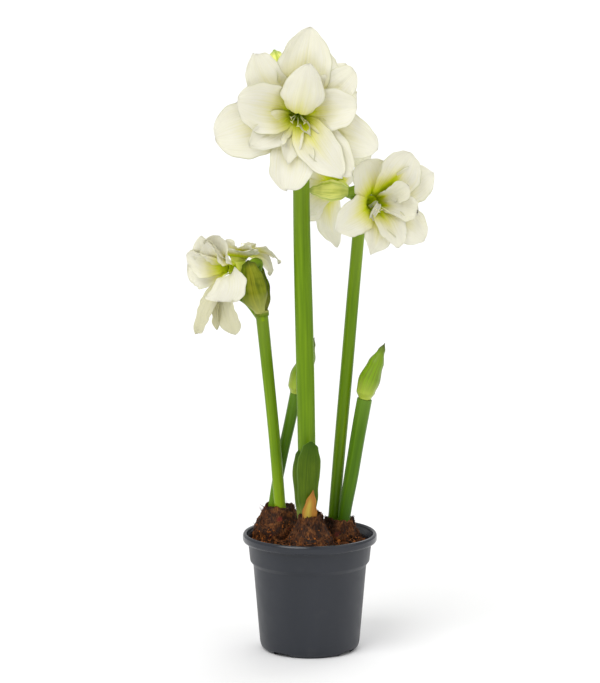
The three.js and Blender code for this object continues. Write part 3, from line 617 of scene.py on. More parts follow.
def tepal_dents(t, k, u, half, sheet, seed):
    """How high each point stands off the sheet: the groove along the middle, dents and pleats."""
    fade = ease(k / 0.15) * (1 - ease((k - 0.82) / 0.18))
    rib = -RIB_DEPTH * np.exp(-((u * half / RIB_WIDTH) ** 2)) * fade
    dents = waves(sheet, DENT_SIZE, seed) * DENT_DEPTH * ease((k - 0.15) / 0.4) * (0.3 + 0.7 * np.abs(u))
    folds = np.sin(8.5 * u + 1.5 * np.sin(3 * k + seed) + seed) + 0.6 * np.sin(19 * u + 2 * k + 2 * seed)
    pleats = t["pleat"] * folds * ease((k - 0.05) / 0.3) * (1 - 0.6 * ease((k - 0.6) / 0.4))
    return rib + (dents + pleats)


# %% The closed tepal and its green
def tepal_green(t, k, u, half):
    """How green a point is: 1 at the root, 0 past the reach of the green and of its streak."""
    green = 1 - np.clip(k * (1 + t["fade"] * np.abs(u)) / t["green"], 0, 1) ** 0.8
    band = np.exp(-((u * half / t["streak_width"]) ** 2)) * (1 - ease((k - 0.1) / t["streak_reach"]))
    return np.clip(green + t["streak"] * band, 0, 1)


def tepal_blade(given):
    """A closed tepal in its bloom's own frame, with its `blade` vector (across, along, green)."""
    t = {**TEPAL, **given}
    seed = int(7 * t["around"] + 13 * t["spread"])
    k, u = SHARES[:, None], ACROSS[None, :]
    half = tepal_half_width(t, k, u, seed)
    sheet = tepal_sheet(t, k, u, half, seed)
    normal = facing(sheet)
    sheet = sheet + normal * tepal_dents(t, k, u, half, sheet, seed)[..., None]
    thick = TEPAL_THICKNESS * (1.3 - 0.8 * np.abs(u)) * (1.2 - 0.6 * k)
    points, faces, source = shell(sheet, normal, thick)
    sway = math.radians(t["sway"]) * np.repeat(SHARES, COLUMNS)[source] ** 2
    about, (x, y, z) = math.radians(t["around"]) + sway, points.T
    points = xyz(x * np.cos(about) - y * np.sin(about), x * np.sin(about) + y * np.cos(about), z)
    blade = xyz(u + 2 * (seed % 45), k, tepal_green(t, k, u, half)).reshape(-1, 3)[source]
    return points, faces, {"blade": blade, "age": np.full(len(points), float(t["age"]))}


trial = tepal_blade({"around": 0, "spread": 80})[0]
print("one tepal:", len(trial), "points, tip at", trial[:, 0].max().round(1), "mm")


# %% [markdown]
# ## What the blooms are made of
# Each bloom has its place, the way it faces, and its tepals in layers: an outer three, a second
# three between them, and inner ones that make it double. `around` is a tepal's place about the axis
# in degrees from the bloom's right, `spread` how far its tip ends up from the axis. Close to the
# tube the tepals are yellow-green, which shines through from behind; `green` says how far that goes.

# %% Layers
SECOND = {"open": 42, "flare": 72, "inset": 1.8, "cup": 0.14}
THIRD = {"open": 32, "flare": 62, "inset": 2.7, "cup": 0.2}
HOOD = {
    "start": -13, "open": -13, "hinge": 0.2, "bend": 0.5, "flare": 88, "curl": -8, "inset": 2.7,
    "cup": -0.4, "funnel": -0.2, "swell": 2.4, "widest": 0.62, "claw": 0.3, "blunt": 0.8,
}
TATTER = {"open": 24, "flare": 28, "inset": 2.6, "cup": 0.6, "wave": 0, "claw": 0.5, "ruffle": 0.3}
CRUMPLED = {"wave": 3, "ruffle": 1.4, "widest": 0.75, "blunt": 0.28, "green": 0.6}
PALE = {"green": 0.6, "streak": 0, "flare": 70, "cup": 0.4, "blunt": 0.45}
# hanging tepals: their green base is hidden, and painted shade makes them darker and yellower
HANGING_SHADED = {"green": 0.5, "streak": 0, "age": 0.8}


def tepal(around, spread, width, *layers, **own):
    """A tepal's own measures over those of its layers, and a later layer's over an earlier one's."""
    given = {"around": around, "spread": spread, "width": width}
    for measures in (*layers, own):
        given.update(measures)
    return given


print("for example:", tepal(60, 80, 50, SECOND, cup=0.2))

# %% The six open blooms
BLOOMS = {
    "bloom_centre_front": {
        "at": (-13, -30, 603.5), "facing": (0, -1, 0), "stamens": 4,
        "tepals": [
            tepal(82, 94, 60, cup=0.22, blunt=0.72, wave=1),
            tepal(195, 91, 66, cup=0.16, blunt=0.42),
            tepal(337, 92, 50, blunt=0.55),
            tepal(142, 79, 46, SECOND, blunt=0.42, sway=-17),
            tepal(262, 80, 50, SECOND, cup=0.2, blunt=0.42, widest=0.66, wave=3),
            tepal(31, 76, 42, SECOND, blunt=0.42, sway=8),
            tepal(167, 66, 60, THIRD, cup=0.2, blunt=0.42),
            tepal(212, 60, 36, THIRD, open=26, wave=4, waves=2),
            tepal(298, 80, 46, THIRD, flare=72, cup=0.16, blunt=0.75, sway=9),
            tepal(9, 63, 50, THIRD, cup=0.22, blunt=0.42),
            tepal(313, 84, 42, SECOND, blunt=0.5),
            tepal(78, 57, 50, HOOD),
            tepal(257, 52, 28, open=30, flare=56, inset=2.4, cup=0.6),
            tepal(300, 26, 12, TATTER, curl=20),
        ],
    },
    "bloom_centre_back": {
        "at": (-3, -4, 600), "facing": (0.1, 1, 0.1), "stamens": 3,
        "tepals": [
            tepal(98, 66, 54), tepal(228, 92, 54), tepal(345, 76, 54),
            tepal(48, 58, 46, SECOND), tepal(165, 52, 46, SECOND), tepal(280, 76, 50, SECOND),
            *(tepal(around, 58, 42, THIRD, wave=3) for around in (20, 130, 250)),
            tepal(270, 28, 12, TATTER),
        ],
    },
    "bloom_right_front": {
        "at": (57, -3, 501), "facing": (0.46, -0.88, 0.1), "stamens": 3,
        "tepals": [
            tepal(111, 49, 54, blunt=0.42, cup=0.2),
            tepal(200, 66, 43, blunt=0.72, cup=0.12, widest=0.5, sway=4),
            tepal(26, 70, 44, blunt=0.65),
            tepal(57, 62, 50, SECOND, blunt=0.4, streak=1, streak_width=4.5, streak_reach=0.7),
            tepal(265, 58, 36, open=46, flare=80, blunt=0.7, sway=-12),
            tepal(317, 62, 44, SECOND, blunt=0.6),
            tepal(284, 50, 38, THIRD, blunt=0.6),
            tepal(342, 36, 30, CRUMPLED, open=20, flare=44, inset=2.2, cup=0.2),
            tepal(38, 28, 26, CRUMPLED, open=16, flare=30, inset=2.4, cup=0.25),
            tepal(225, 32, 8, TATTER, start=-30, open=-30, hinge=0.2, bend=0.3, flare=90, sway=20,
                  green=0.1, streak=0),
        ],
    },
    "bloom_right_back": {
        "at": (46, 20, 508), "facing": (-0.55, 0.7, 0.3), "stamens": 3,
        "tepals": [
            tepal(320, 46, 50), tepal(252, 84, 34, open=56, flare=100, curl=20), tepal(95, 30, 34),
            tepal(291, 52, 54, SECOND, flare=80, blunt=0.5), tepal(166, 32, 30, SECOND),
            tepal(30, 42, 40, SECOND),
            *(tepal(around, 34, 28, THIRD) for around in (90, 210, 330)),
        ],
    },
    "bloom_left_front": {
        "at": (-68, -1, 432), "facing": (-0.72, -0.64, -0.1), "stamens": 1,
        "tepals": [
            tepal(172, 48, 52, PALE),
            tepal(338, 31, 46, start=-6, open=22, flare=60, curl=0, cup=-0.1, funnel=0.3, inset=3, wave=1,
                  blunt=0.3, widest=0.85, swell=1.3, twist=-46, sway=-54, green=0.2, streak=0),
            tepal(82, 42, 46, PALE),
            tepal(114, 44, 46, SECOND, PALE, flare=66),
            tepal(275, 71, 36, HANGING_SHADED, open=62, flare=100, curl=4, blunt=0.5, widest=0.66),
            tepal(249, 84, 24, HANGING_SHADED, open=50, flare=88, curl=16, blunt=0.85, sway=-9),
            tepal(150, 40, 36, open=30, flare=52, inset=2.7, cup=0.5),
            tepal(257, 68, 12, HANGING_SHADED, open=56, flare=92, inset=2.7, cup=0.4, age=1),
            tepal(96, 36, 34, open=30, flare=54, inset=2.7, cup=0.5),
        ],
    },
    "bloom_left_back": {
        "at": (-83, 14, 416), "facing": (0.16, 0.36, 0.91), "stamens": 2,
        "tepals": [
            tepal(14, 30, 30, open=70, flare=96, curl=6, blunt=0.8),
            tepal(189, 48, 34, open=62, flare=104, curl=46, blunt=0.85),
            tepal(226, 40, 34, open=74, flare=120, curl=50, blunt=0.8),
            tepal(106, 26, 50, start=30, open=50, hinge=0.2, bend=0.3, flare=100, curl=0, funnel=0,
                  claw=0.4, widest=0.6, blunt=0.4, green=0.45, streak=0),
            tepal(75, 26, 18, SECOND, open=46, flare=60, blunt=0.8),
            tepal(140, 36, 24, SECOND, open=66, flare=92, curl=16, blunt=0.8),
            tepal(300, 34, 26, SECOND, open=58, flare=84, blunt=0.8),
            *(tepal(around, 23, 16, THIRD, open=36, flare=50, blunt=0.9) for around in (45, 160, 280)),
        ],
    },
}
print(sum(len(bloom["tepals"]) for bloom in BLOOMS.values()), "tepals")

# %% [markdown]
# ## The skin of a tepal
# A tepal is creamy white, yellow where it gets thick and green, and crossed lengthwise by fine
# veins. Its cells glitter a little when they are lit from the side. It is thin, so a third of the
# light goes through and makes the shaded blades glow. The colour follows the `blade` vector, which
# says where on the tepal a point lies.

# %% Tepal finish
VEINS = 15
TEPAL_GLOW = 0.34  # the share of the light that goes through

petal = Finish("tepal_skin", Roughness=0.5, IOR=1.34, Sheen_Weight=0.06, Sheen_Roughness=0.4)
blade, (across, along, green) = petal.vector("blade")
wander = petal.noise(blade, (3, 4, 1))
lengthwise = petal.maths("MULTIPLY", across, VEINS * math.pi)
vein = petal.maths("SINE", petal.maths("MULTIPLY_ADD", wander, 3.5, lengthwise))
fine_veins = petal.noise(blade, (26, 2.2, 1), detail=4)
cells = petal.noise(petal.here(), 1500, detail=1)
clouds = petal.noise(petal.here(), 45)
glow = petal.maths("ADD", green, petal.between(fine_veins, 0.3, 0.7, -0.05, 0.07))
tint = petal.shades(
    glow,
    (0.0, (0.935, 0.92, 0.83)),
    (0.22, (0.93, 0.905, 0.68)),
    (0.4, (0.90, 0.875, 0.33)),
    (0.58, (0.82, 0.86, 0.04)),
    (0.78, (0.72, 0.82, 0.0)),
    (1.0, (0.52, 0.62, 0.0)),
)
tint = petal.darken(petal.between(clouds, 0.35, 0.75, 0.0, 0.5), tint, (0.97, 0.97, 0.90))
lines = petal.maths("MULTIPLY", petal.between(vein, 0.2, 1.0), petal.between(along, 0.05, 0.9, 0.5, 0.1))
tint = petal.darken(lines, tint, (0.96, 0.955, 0.86))
streaks = petal.noise(blade, (16, 1.2, 1), detail=5)
tint = petal.darken(petal.between(streaks, 0.5, 0.72, 0.0, 0.5), tint, (0.90, 0.90, 0.76))
# painted shade along each tepal's edge: a darker, yellower rim
rim = petal.between(petal.maths("PINGPONG", across, 1.0), 0.93, 1.0, 0.0, 0.7)
tint = petal.darken(rim, tint, (0.84, 0.86, 0.66))
# painted shade on the hanging tepals: darker and yellower
tint = petal.darken(petal.number("age"), tint, (0.84, 0.83, 0.66))
petal.wear(
    Base_Color=tint,
    Roughness=petal.between(clouds, 0.3, 0.7, 0.42, 0.58),
    Normal=petal.relief(cells, 0.02, petal.relief(fine_veins, 0.12, petal.relief(vein, 0.05))),
)
petal.through(tint, TEPAL_GLOW)
print("tepal finish:", len(petal.tree.nodes), "nodes")


# %% Standing a bloom in its place
def standing(shape):
    """The axes of a bloom or bud, right, top and ahead as rows, and its place."""
    ahead = unit(np.array(shape["facing"], float))
    right = unit(np.cross((0, 0, 1), ahead))
    return np.stack([right, np.cross(ahead, right), ahead]), np.array(shape["at"], float)


def lathe(outline, sides, turned=lambda angle, height: 1.0):
    """Rings about the Z axis through (radius, height) points; turned scales the radius."""
    angle = circle(sides)
    radius, height = np.asarray(outline, float).T[..., None]
    radius = radius * turned(angle, height)
    return xyz(radius * np.cos(angle), radius * np.sin(angle), height)


for name, bloom in BLOOMS.items():
    axes, at = standing(bloom)
    parts = []
    for given in bloom["tepals"]:
        points, faces, more = tepal_blade(given)
        parts.append((points @ axes + at, faces, more))
    settle(build(name + "_tepals", parts, petal), "tepal_white", name)

# %% [markdown]
# ## Tubes, stamens and pistils
# The tepals are joined in a short tube, green below and yellowish above. The stamens rise from its
# floor: in a double bloom most have turned into small tepals, and a few still carry pollen. Stamens
# are strands for the sweep recipe, each with a second short, thick strand as its anther.

# %% Tube and thread finishes
tube_skin = Finish("tube_skin", Roughness=0.42, IOR=1.4)
spot, (_, _, up) = tube_skin.vector("spot")
streaks = tube_skin.noise(spot, (900, 900, 60))
height = tube_skin.between(up, 0.0, TUBE_LENGTH * MM, -0.1, 0.9)
outer = tube_skin.shades(
    tube_skin.maths("MULTIPLY_ADD", streaks, 0.2, height),
    (0.0, (0.22, 0.36, 0.02)), (0.45, (0.46, 0.56, 0.03)), (0.95, (0.70, 0.72, 0.12)),
)
tube_skin.wear(
    # the inside of the tube: its yellow-green, made brighter as painted light in the shaded throat
    Base_Color=tube_skin.blend(tube_skin.number("inside"), outer, (0.62, 0.74, 0.0)),
    Normal=tube_skin.relief(streaks, 0.15),
)

thread_skin = Finish("thread_skin", Roughness=0.4)
mottle = thread_skin.noise(thread_skin.here(), 800)
thread_skin.wear(
    Base_Color=thread_skin.shades(
        thread_skin.maths("MULTIPLY_ADD", mottle, 0.15, thread_skin.number("share")),
        (0.1, (0.30, 0.46, 0.01)), (0.5, (0.55, 0.68, 0.06)), (0.9, (0.95, 0.95, 0.66)),
    ),
    Normal=thread_skin.relief(mottle, 0.05),
)

pollen = Finish("pollen_coat", Roughness=0.85)
specks = pollen.noise(pollen.here(), 2500, detail=2)
pollen.wear(
    Base_Color=pollen.shades(specks, (0.35, (0.80, 0.74, 0.40)), (0.65, (0.93, 0.90, 0.68))),
    Normal=pollen.relief(specks, 0.2),
)
print("heart finishes:", ", ".join(f.material.name for f in (tube_skin, thread_skin, pollen)))

# %% Hearts
TUBE_OUTLINE = [
    (TUBE_RADIUS - 0.4, 0), (TUBE_RADIUS, 0.4), (TUBE_RADIUS + 0.5, 5), (TUBE_RADIUS + 1.5, 11.7),
    (TUBE_RADIUS + 2.8, 18.5), (THROAT_RADIUS - 0.6, 22), (THROAT_RADIUS - 1.1, 22.9),
    (THROAT_RADIUS - 2.4, 22.4), (THROAT_RADIUS - 4, 19), (THROAT_RADIUS - 6, 14), (1.0, 9),
]
TUBE_RIM = 6  # the ring of the outline from which on it is the inside
TUBE_SIDES = 36
THREAD_SIDES = 8
STAMEN_REACH = 30
ANTHER_HALF, STIGMA_HALF = 2.0, 0.9  # half their lengths
ANTHER_RADIUS = 0.6


def stamen(rng, place_in_row):
    """A bowed thread from the tube's floor, as a path, and the direction in which it leaves the axis."""
    turn = -math.pi / 2 + place_in_row * 0.5 + rng.uniform(-0.2, 0.2)
    reach = STAMEN_REACH * rng.uniform(0.6, 1.0)
    outward = np.array([math.cos(turn), math.sin(turn), 0])
    stations = (
        (1.8, TUBE_LENGTH * 0.32), (3.3, TUBE_LENGTH * 0.9), (reach * 0.2, TUBE_LENGTH + reach * 0.4),
        (reach * 0.42, TUBE_LENGTH + reach * 0.75),
    )
    return Path([outward * r + (0, 0, z) for r, z in stations]), outward


def six_ridges(angle, height):
    return 1 + 0.035 * np.cos(6 * angle) * ease(height / 6)


for name, bloom in BLOOMS.items():
    axes, at = standing(bloom)
    points, faces = stack(lathe(TUBE_OUTLINE, TUBE_SIDES, six_ridges))
    inside = np.append(np.repeat(np.arange(len(TUBE_OUTLINE)) >= TUBE_RIM, TUBE_SIDES), [False, True])
    more = {"spot": points * MM, "inside": inside}
    settle(build(name + "_tube", [(points @ axes + at, faces, more)], tube_skin), "stem_green", name)
    count = bloom["stamens"]
    rng = np.random.default_rng(len(name) + count)
    threads, anthers = [], []
    for k in range(count + 1):  # the last one is the pistil
        line, outward = stamen(rng, k - count / 2)
        share = np.linspace(0, 1, 24)
        threads.append((line.at(share) @ axes + at, mix(0.75, 0.4, share)))
        tip, ahead = line.at(1.0), line.ahead(1.0)
        aside = unit(np.cross(ahead, outward))
        along = np.linspace(-1, 1, 11)
        half = ANTHER_HALF if k < count else STIGMA_HALF
        spine = tip + along[:, None] * half * aside + (along**2 * 0.5)[:, None] * ahead
        anthers.append((spine @ axes + at, ANTHER_RADIUS * np.sqrt(np.maximum(0.02, 1 - along**2))))
    threads = swept(name + "_threads", threads, thread_skin, THREAD_SIDES)
    anthers = swept(name + "_anthers", anthers, pollen, THREAD_SIDES, ribs=2, depth=0.15)
    settle(threads, "tepal_white", name)
    settle(anthers, "tepal_white", name)

# %% [markdown]
# ## Stems
# An amaryllis has hollow, leafless flower stems as thick as a thumb, smooth and waxy, with faint
# flutes. At the top of each the stalks of its blooms part, and each stalk swells into the seed pod
# that the bloom stands on. The sweep recipe makes a stem and its stalks in one go, from the same
# paths as the frame.

# %% Stem finish
def stem_finish(name, shade):
    """Waxy green streaked along the stem, with painted shade at the foot of the stems on the right and
    painted light at the foot of those on the left.
    The shade multiplies all its colours."""
    made = Finish(name, Roughness=0.42, IOR=1.36, Specular_IOR_Level=0.3)
    grain, _ = made.vector("grain")
    share = made.number("share")
    streaks = made.noise(grain, (260, 260, 9), detail=4)
    patches = made.noise(grain, (60, 60, 14))
    pores = made.noise(grain, (2600, 2600, 700), detail=1)
    colour = made.shades(
        streaks, (0.3, (0.100, 0.195, 0.001)), (0.55, (0.140, 0.255, 0.002)), (0.75, (0.195, 0.32, 0.008))
    )
    colour = made.blend(made.between(share, 0.75, 1.0, 0.0, 0.4), colour, (0.34, 0.47, 0.05))
    colour = made.darken(made.between(patches, 0.35, 0.75, 0.0, 0.4), colour, (0.68, 0.76, 0.6))
    place_x = made.split(made.here())[0]
    near_foot = made.between(share, 0.0, 0.32, 0.9, 0.0)
    # painted shade: the feet of the stems on the right are darkened
    right = made.maths("MULTIPLY", near_foot, made.between(place_x, -20 * MM, 5 * MM))
    colour = made.darken(right, colour, (0.45, 0.60, 0.35))
    # painted light: the feet of the stems on the left are lightened
    left = made.maths("MULTIPLY", near_foot, made.between(place_x, -20 * MM, -30 * MM))
    colour = made.blend(left, colour, (0.27, 0.42, 0.004))
    made.wear(
        Base_Color=made.darken(1.0, colour, shade),
        Roughness=made.between(patches, 0.3, 0.7, 0.32, 0.46),
        Normal=made.relief(pores, 0.02, made.relief(streaks, 0.12)),
    )
    return made


tall_stem = stem_finish("waxy_stem", (1.0, 1.0, 1.0))
short_stem = stem_finish("young_stem", (0.56, 0.70, 0.75))
print("stem finish:", len(tall_stem.tree.nodes), "nodes")

# %% Stem paths
POINTED = [(0, 0.42), (0.2, 0.84), (0.4, 1), (0.6, 0.82), (0.8, 0.46), (1, 0.05)]
BLUNT = [(0, 0.4), (0.2, 0.8), (0.42, 1), (0.68, 0.88), (0.88, 0.56), (1, 0.12)]
FLOWER_BUDS = {
    "flower_bud_centre": {"outline": BLUNT, "at": (-28, 22, 625), "facing": (-0.25, 0.35, 0.9)},
    "flower_bud_right": {"outline": POINTED, "at": (42, 0, 514), "facing": (-1, 0, 0.02)},
}
HEADS = {**BLOOMS, **FLOWER_BUDS}
STEMS = {
    "stem_left": {
        "path": [
            (-31.6, 7, 147), (-33.4, 5.5, 162), (-37.5, 5, 215), (-42.5, 5, 270), (-48, 5, 325),
            (-53.4, 5, 378),
        ],
        "radius": (6.4, 6.4, 6.9),
        "stalks": {
            "bloom_left_front": [(-52, 2, 370), (-57, 2, 400), (-58, 8, 424)],
            "bloom_left_back": [(-54, 9, 370), (-68, 11, 388)],
        },
    },
    "stem_left_back": {
        "path": [(-42.4, 20, 145), (-40.4, 20.5, 162), (-31.8, 21, 210), (-22, 18, 255), (-15.5, 15, 287)],
        "radius": (5.6, 6.2, 6.6),
    },
    "stem_centre": {
        "path": [
            (-1.6, -23.5, 147), (-2.6, -24, 165), (-4, -24.5, 250), (-6, -24, 350), (-9, -21, 470),
            (-10, -16, 552),
        ],
        "radius": (9.6, 10, 9),
        "stalks": {
            "bloom_centre_front": [(-13, -17, 545), (-16, -11, 578), (-15, -11, 600)],
            "bloom_centre_back": [(-7, -14, 545), (-4, -19, 574), (-4, -21, 594)],
            "flower_bud_centre": [(-12, -10, 545), (-20, 6, 590)],
        },
    },
    "stem_right": {
        "path": [
            (26.2, 17, 133), (27.4, 16, 150), (33, 14, 220), (40, 12, 302), (48, 11, 400), (54.5, 10, 477),
        ],
        "radius": (6.4, 6.9, 6.8),
        "stalks": {
            "bloom_right_front": [(57, 8, 470), (60, 10, 486), (55, 9, 495)],
            "bloom_right_back": [(53, 12, 470), (54, 14, 490)],
            "flower_bud_right": [(51, 7, 470), (51, 3, 496)],
        },
    },
    "stem_right_front": {
        "path": [(37.2, 5, 134), (38.8, 4, 152), (46, 2, 195), (54, 0.5, 245), (60.6, 0, 282.7)],
        "radius": (7, 8, 8.4),
    },
}
STALK = [(0, 4), (0.6, 3.4), (0.86, 5.8), (1, 4.8)]  # its radius, up to the seed pod under the bloom
STALK_GAP = 0.3
POD_LENGTH = 14
print(len(STEMS), "stems carry", len(HEADS), "open blooms and flower buds")

# %% Grow the stems
STEM_POINTS, STALK_POINTS = 70, 40
for name, stem in STEMS.items():
    share = np.linspace(0, 1, STEM_POINTS)
    foot, middle, top = stem["radius"]
    lines = [(Path(stem["path"]).at(share), ramp([(0, foot), (0.5, middle), (1, top)], share))]
    for head, through in stem.get("stalks", {}).items():
        axes, at = standing(HEADS[head])
        end = at - STALK_GAP * axes[2]
        share = np.linspace(0, 1, STALK_POINTS)
        lines.append((Path([*through, end - POD_LENGTH * axes[2], end]).at(share), ramp(STALK, share)))
    skin = tall_stem if "stalks" in stem else short_stem
    settle(swept(name + "_swept", lines, skin, sides=40, ribs=9, depth=0.006), "stem_green", name)

# %% [markdown]
# ## Leaves, spathes and dry scales
# A young leaf, a bract and the tip of a dry bulb scale are all one kind of thing: a sheet along a
# path, with a breadth that changes along it and edges that bend back. The same function makes them,
# and only their measures and their finishes differ. The bracts have withered, so their edges wave
# and their tips roll up and go dark.

# %% Sheets along a path
KEEL_WIDTH = 1.4
LEAF_DENTS = 22  # millimetres between the dents of a withered blade


def leaf_blade(shape, thickness, edge_wave, seed, rib=0.0, tip_roll=0.0):
    """A closed leaf-like blade with its `blade` vector (across, along, 0)."""
    line = Path(shape["path"])
    k, u = SHARES[:, None], ACROSS[None, :]
    centre, ahead = line.at(SHARES)[:, None], line.ahead(SHARES)[:, None]
    out = unit(np.array(shape["face"], float))
    normal = unit(out - ahead * (ahead @ out)[..., None])
    across = np.cross(ahead, normal)
    tip = np.sqrt(np.maximum(0.0, 1 - (np.clip((k - 0.9) / 0.1, 0, 1)) ** 2))
    half = ramp(shape["widths"], k) / 2 * (0.1 + 0.9 * tip)
    half = half * (1 + 0.03 * np.sin(17 * k + seed) * np.abs(u))
    cup = shape["cup"]
    side = half * np.sin(cup * u) / cup
    back = -half * (1 - np.cos(cup * u)) / cup
    back = back + edge_wave * np.abs(u) ** 3 * np.sin(19 * k + 2 * np.sign(u) + seed) * ease(k / 0.3)
    back = back - rib * np.exp(-((u * half / KEEL_WIDTH) ** 2)) * (1 - ease((k - 0.8) / 0.2))
    back = back + tip_roll * ease((k - 0.86) / 0.14)
    sheet = centre + across * side[..., None] + normal * back[..., None]
    upright = facing(sheet)
    sheet = sheet + upright * (waves(sheet, LEAF_DENTS, seed) * edge_wave * 0.5)[..., None]
    points, faces, source = shell(sheet, upright, thickness * (1 - 0.55 * np.abs(u)))
    return points, faces, {"blade": xyz(u, k, 0).reshape(-1, 3)[source]}


# %% Leaf finish
LEAF_GLOW = 0.12  # the share of the light that goes through

leaf = Finish("leaf_skin", Roughness=0.4, IOR=1.33, Specular_IOR_Level=0.3)
blade, (across, along, _) = leaf.vector("blade")
veins = leaf.noise(blade, (14, 1.2, 0), detail=4)
patches = leaf.noise(leaf.here(), 70)
edge = leaf.between(leaf.maths("ABSOLUTE", across), 0.82, 1.0, 0.0, 0.5)
green = leaf.shades(
    veins, (0.3, (0.050, 0.100, 0.002)), (0.55, (0.085, 0.150, 0.003)), (0.75, (0.13, 0.205, 0.006))
)
green = leaf.darken(leaf.between(along, 0.7, 1.0, 0.0, 0.8), green, (0.4, 0.65, 0.3))
green = leaf.darken(leaf.between(patches, 0.35, 0.75, 0.0, 0.5), green, (0.6, 0.7, 0.6))
green = leaf.coated(
    green,
    (edge, (0.17, 0.30, 0.05)),
    (leaf.between(along, 0.0, 0.25, 0.75, 0.0), (0.36, 0.42, 0.09)),
)
leaf.wear(
    Base_Color=green,
    Roughness=leaf.between(patches, 0.3, 0.7, 0.3, 0.45),
    Normal=leaf.relief(leaf.noise(leaf.here(), 1800), 0.02, leaf.relief(veins, 0.16)),
)
leaf.through(green, LEAF_GLOW)
print("leaf finish:", len(leaf.tree.nodes), "nodes")

# %% The pair of young leaves
LEAVES = {
    "leaf_front": {
        "path": [(-1, -38.6, 151), (-2.3, -41.2, 178), (-1.5, -44, 212), (1, -49, 244)],
        "face": (0, -1, 0.1), "cup": 0.5,
        "widths": [(0, 13), (0.35, 24), (0.75, 27), (0.92, 18), (1, 9)],
    },
    "leaf_behind": {
        "path": [(-11.2, -31, 151), (-13.6, -33, 180), (-15, -34, 210), (-12.2, -35, 232)],
        "face": (-0.6, -0.8, 0.1), "cup": 0.35,
        "widths": [(0, 6), (0.35, 10), (0.75, 12), (0.92, 8), (1, 4)],
    },
}
for name, shape in LEAVES.items():
    blade = leaf_blade(shape, thickness=1.5, edge_wave=0.3, seed=4, rib=0.7)
    settle(build(name + "_blade", [blade], leaf), "leaf_green", name)

# %% Spathe and dry scale finishes
SPATHE_GLOW, DRY_GLOW = 0.22, 0.25

spathe = Finish("spathe_skin", Roughness=0.5, IOR=1.4, Specular_IOR_Level=0.25)
blade, (across, along, _) = spathe.vector("blade")
off_middle = spathe.maths("ABSOLUTE", across)
fibres = spathe.noise(blade, (6, 1.2, 0), detail=5)
blots = spathe.noise(spathe.here(), 110)
keel = spathe.maths(
    "MULTIPLY", spathe.between(off_middle, 0.0, 0.4, 0.75, 0.0), spathe.between(fibres, 0.4, 0.6)
)
olive = spathe.shades(
    spathe.maths("MULTIPLY_ADD", fibres, 0.6, spathe.maths("MULTIPLY", blots, 0.4)),
    (0.34, (0.10, 0.14, 0.002)), (0.46, (0.20, 0.245, 0.006)), (0.56, (0.31, 0.35, 0.018)),
    (0.68, (0.40, 0.42, 0.05)),
)
olive = spathe.coated(
    olive,
    (spathe.between(across, -0.9, -0.25, 0.75, 0.0), (0.17, 0.28, 0.005)),  # greener at one side
    (keel, (0.47, 0.46, 0.02)),
    (spathe.between(off_middle, 0.80, 1.0, 0.0, 0.75), (0.055, 0.095, 0.012)),  # dark edges
    (spathe.between(along, 0.04, 0.42, 0.9, 0.0), (0.60, 0.62, 0.17)),  # pale where it starts
    (spathe.between(along, 0.86, 0.98, 0.0, 0.8), (0.05, 0.075, 0.008)),  # withered at its tip
    (spathe.between(along, -0.1, 0.0, 1.0, 0.0), (0.17, 0.27, 0.006)),  # the ring on the stem
)
spathe.wear(
    Base_Color=olive,
    Roughness=spathe.between(blots, 0.3, 0.7, 0.38, 0.62),
    Normal=spathe.relief(blots, 0.25, spathe.relief(fibres, 0.3)),
)
spathe.through(olive, SPATHE_GLOW)

dry = Finish("dry_scale_skin", Roughness=0.55)
blade, (across, along, _) = dry.vector("blade")
fibres = dry.noise(blade, (12, 1.5, 0), detail=5)
off_middle = dry.maths("ABSOLUTE", dry.maths("ADD", across, 0.2))
heart = dry.maths(
    "MULTIPLY", dry.between(off_middle, 0.0, 0.6, 0.85, 0.0), dry.between(along, 0.55, 0.8, 1.0, 0.0)
)
ochre = dry.coated(
    dry.shades(fibres, (0.3, (0.22, 0.06, 0.004)), (0.5, (0.50, 0.20, 0.012)), (0.7, (0.72, 0.40, 0.05))),
    (heart, (0.62, 0.52, 0.06)),
    (dry.between(along, 0.8, 1.0, 0.0, 0.6), (0.30, 0.10, 0.02)),
)
dry.wear(Base_Color=ochre, Normal=dry.relief(fibres, 0.35))
dry.through(ochre, DRY_GLOW)
print("bract finishes:", len(spathe.tree.nodes), "and", len(dry.tree.nodes), "nodes")

# %% The dry scale in front of the leaves
SCALE_TIP = {
    "path": [(-0.6, -41.6, 151), (-0.2, -44.8, 165), (1.6, -47.5, 178), (3.6, -48.8, 190)],
    "face": (0, -1, 0), "cup": 0.6,
    "widths": [(0, 16), (0.28, 17.5), (0.6, 12.5), (1, 2)],
}
tip = leaf_blade(SCALE_TIP, thickness=0.8, edge_wave=0.5, seed=8)
settle(build("bulb_scale_tip_blade", [tip], dry), "dry_scale", "bulb_scale_tip")

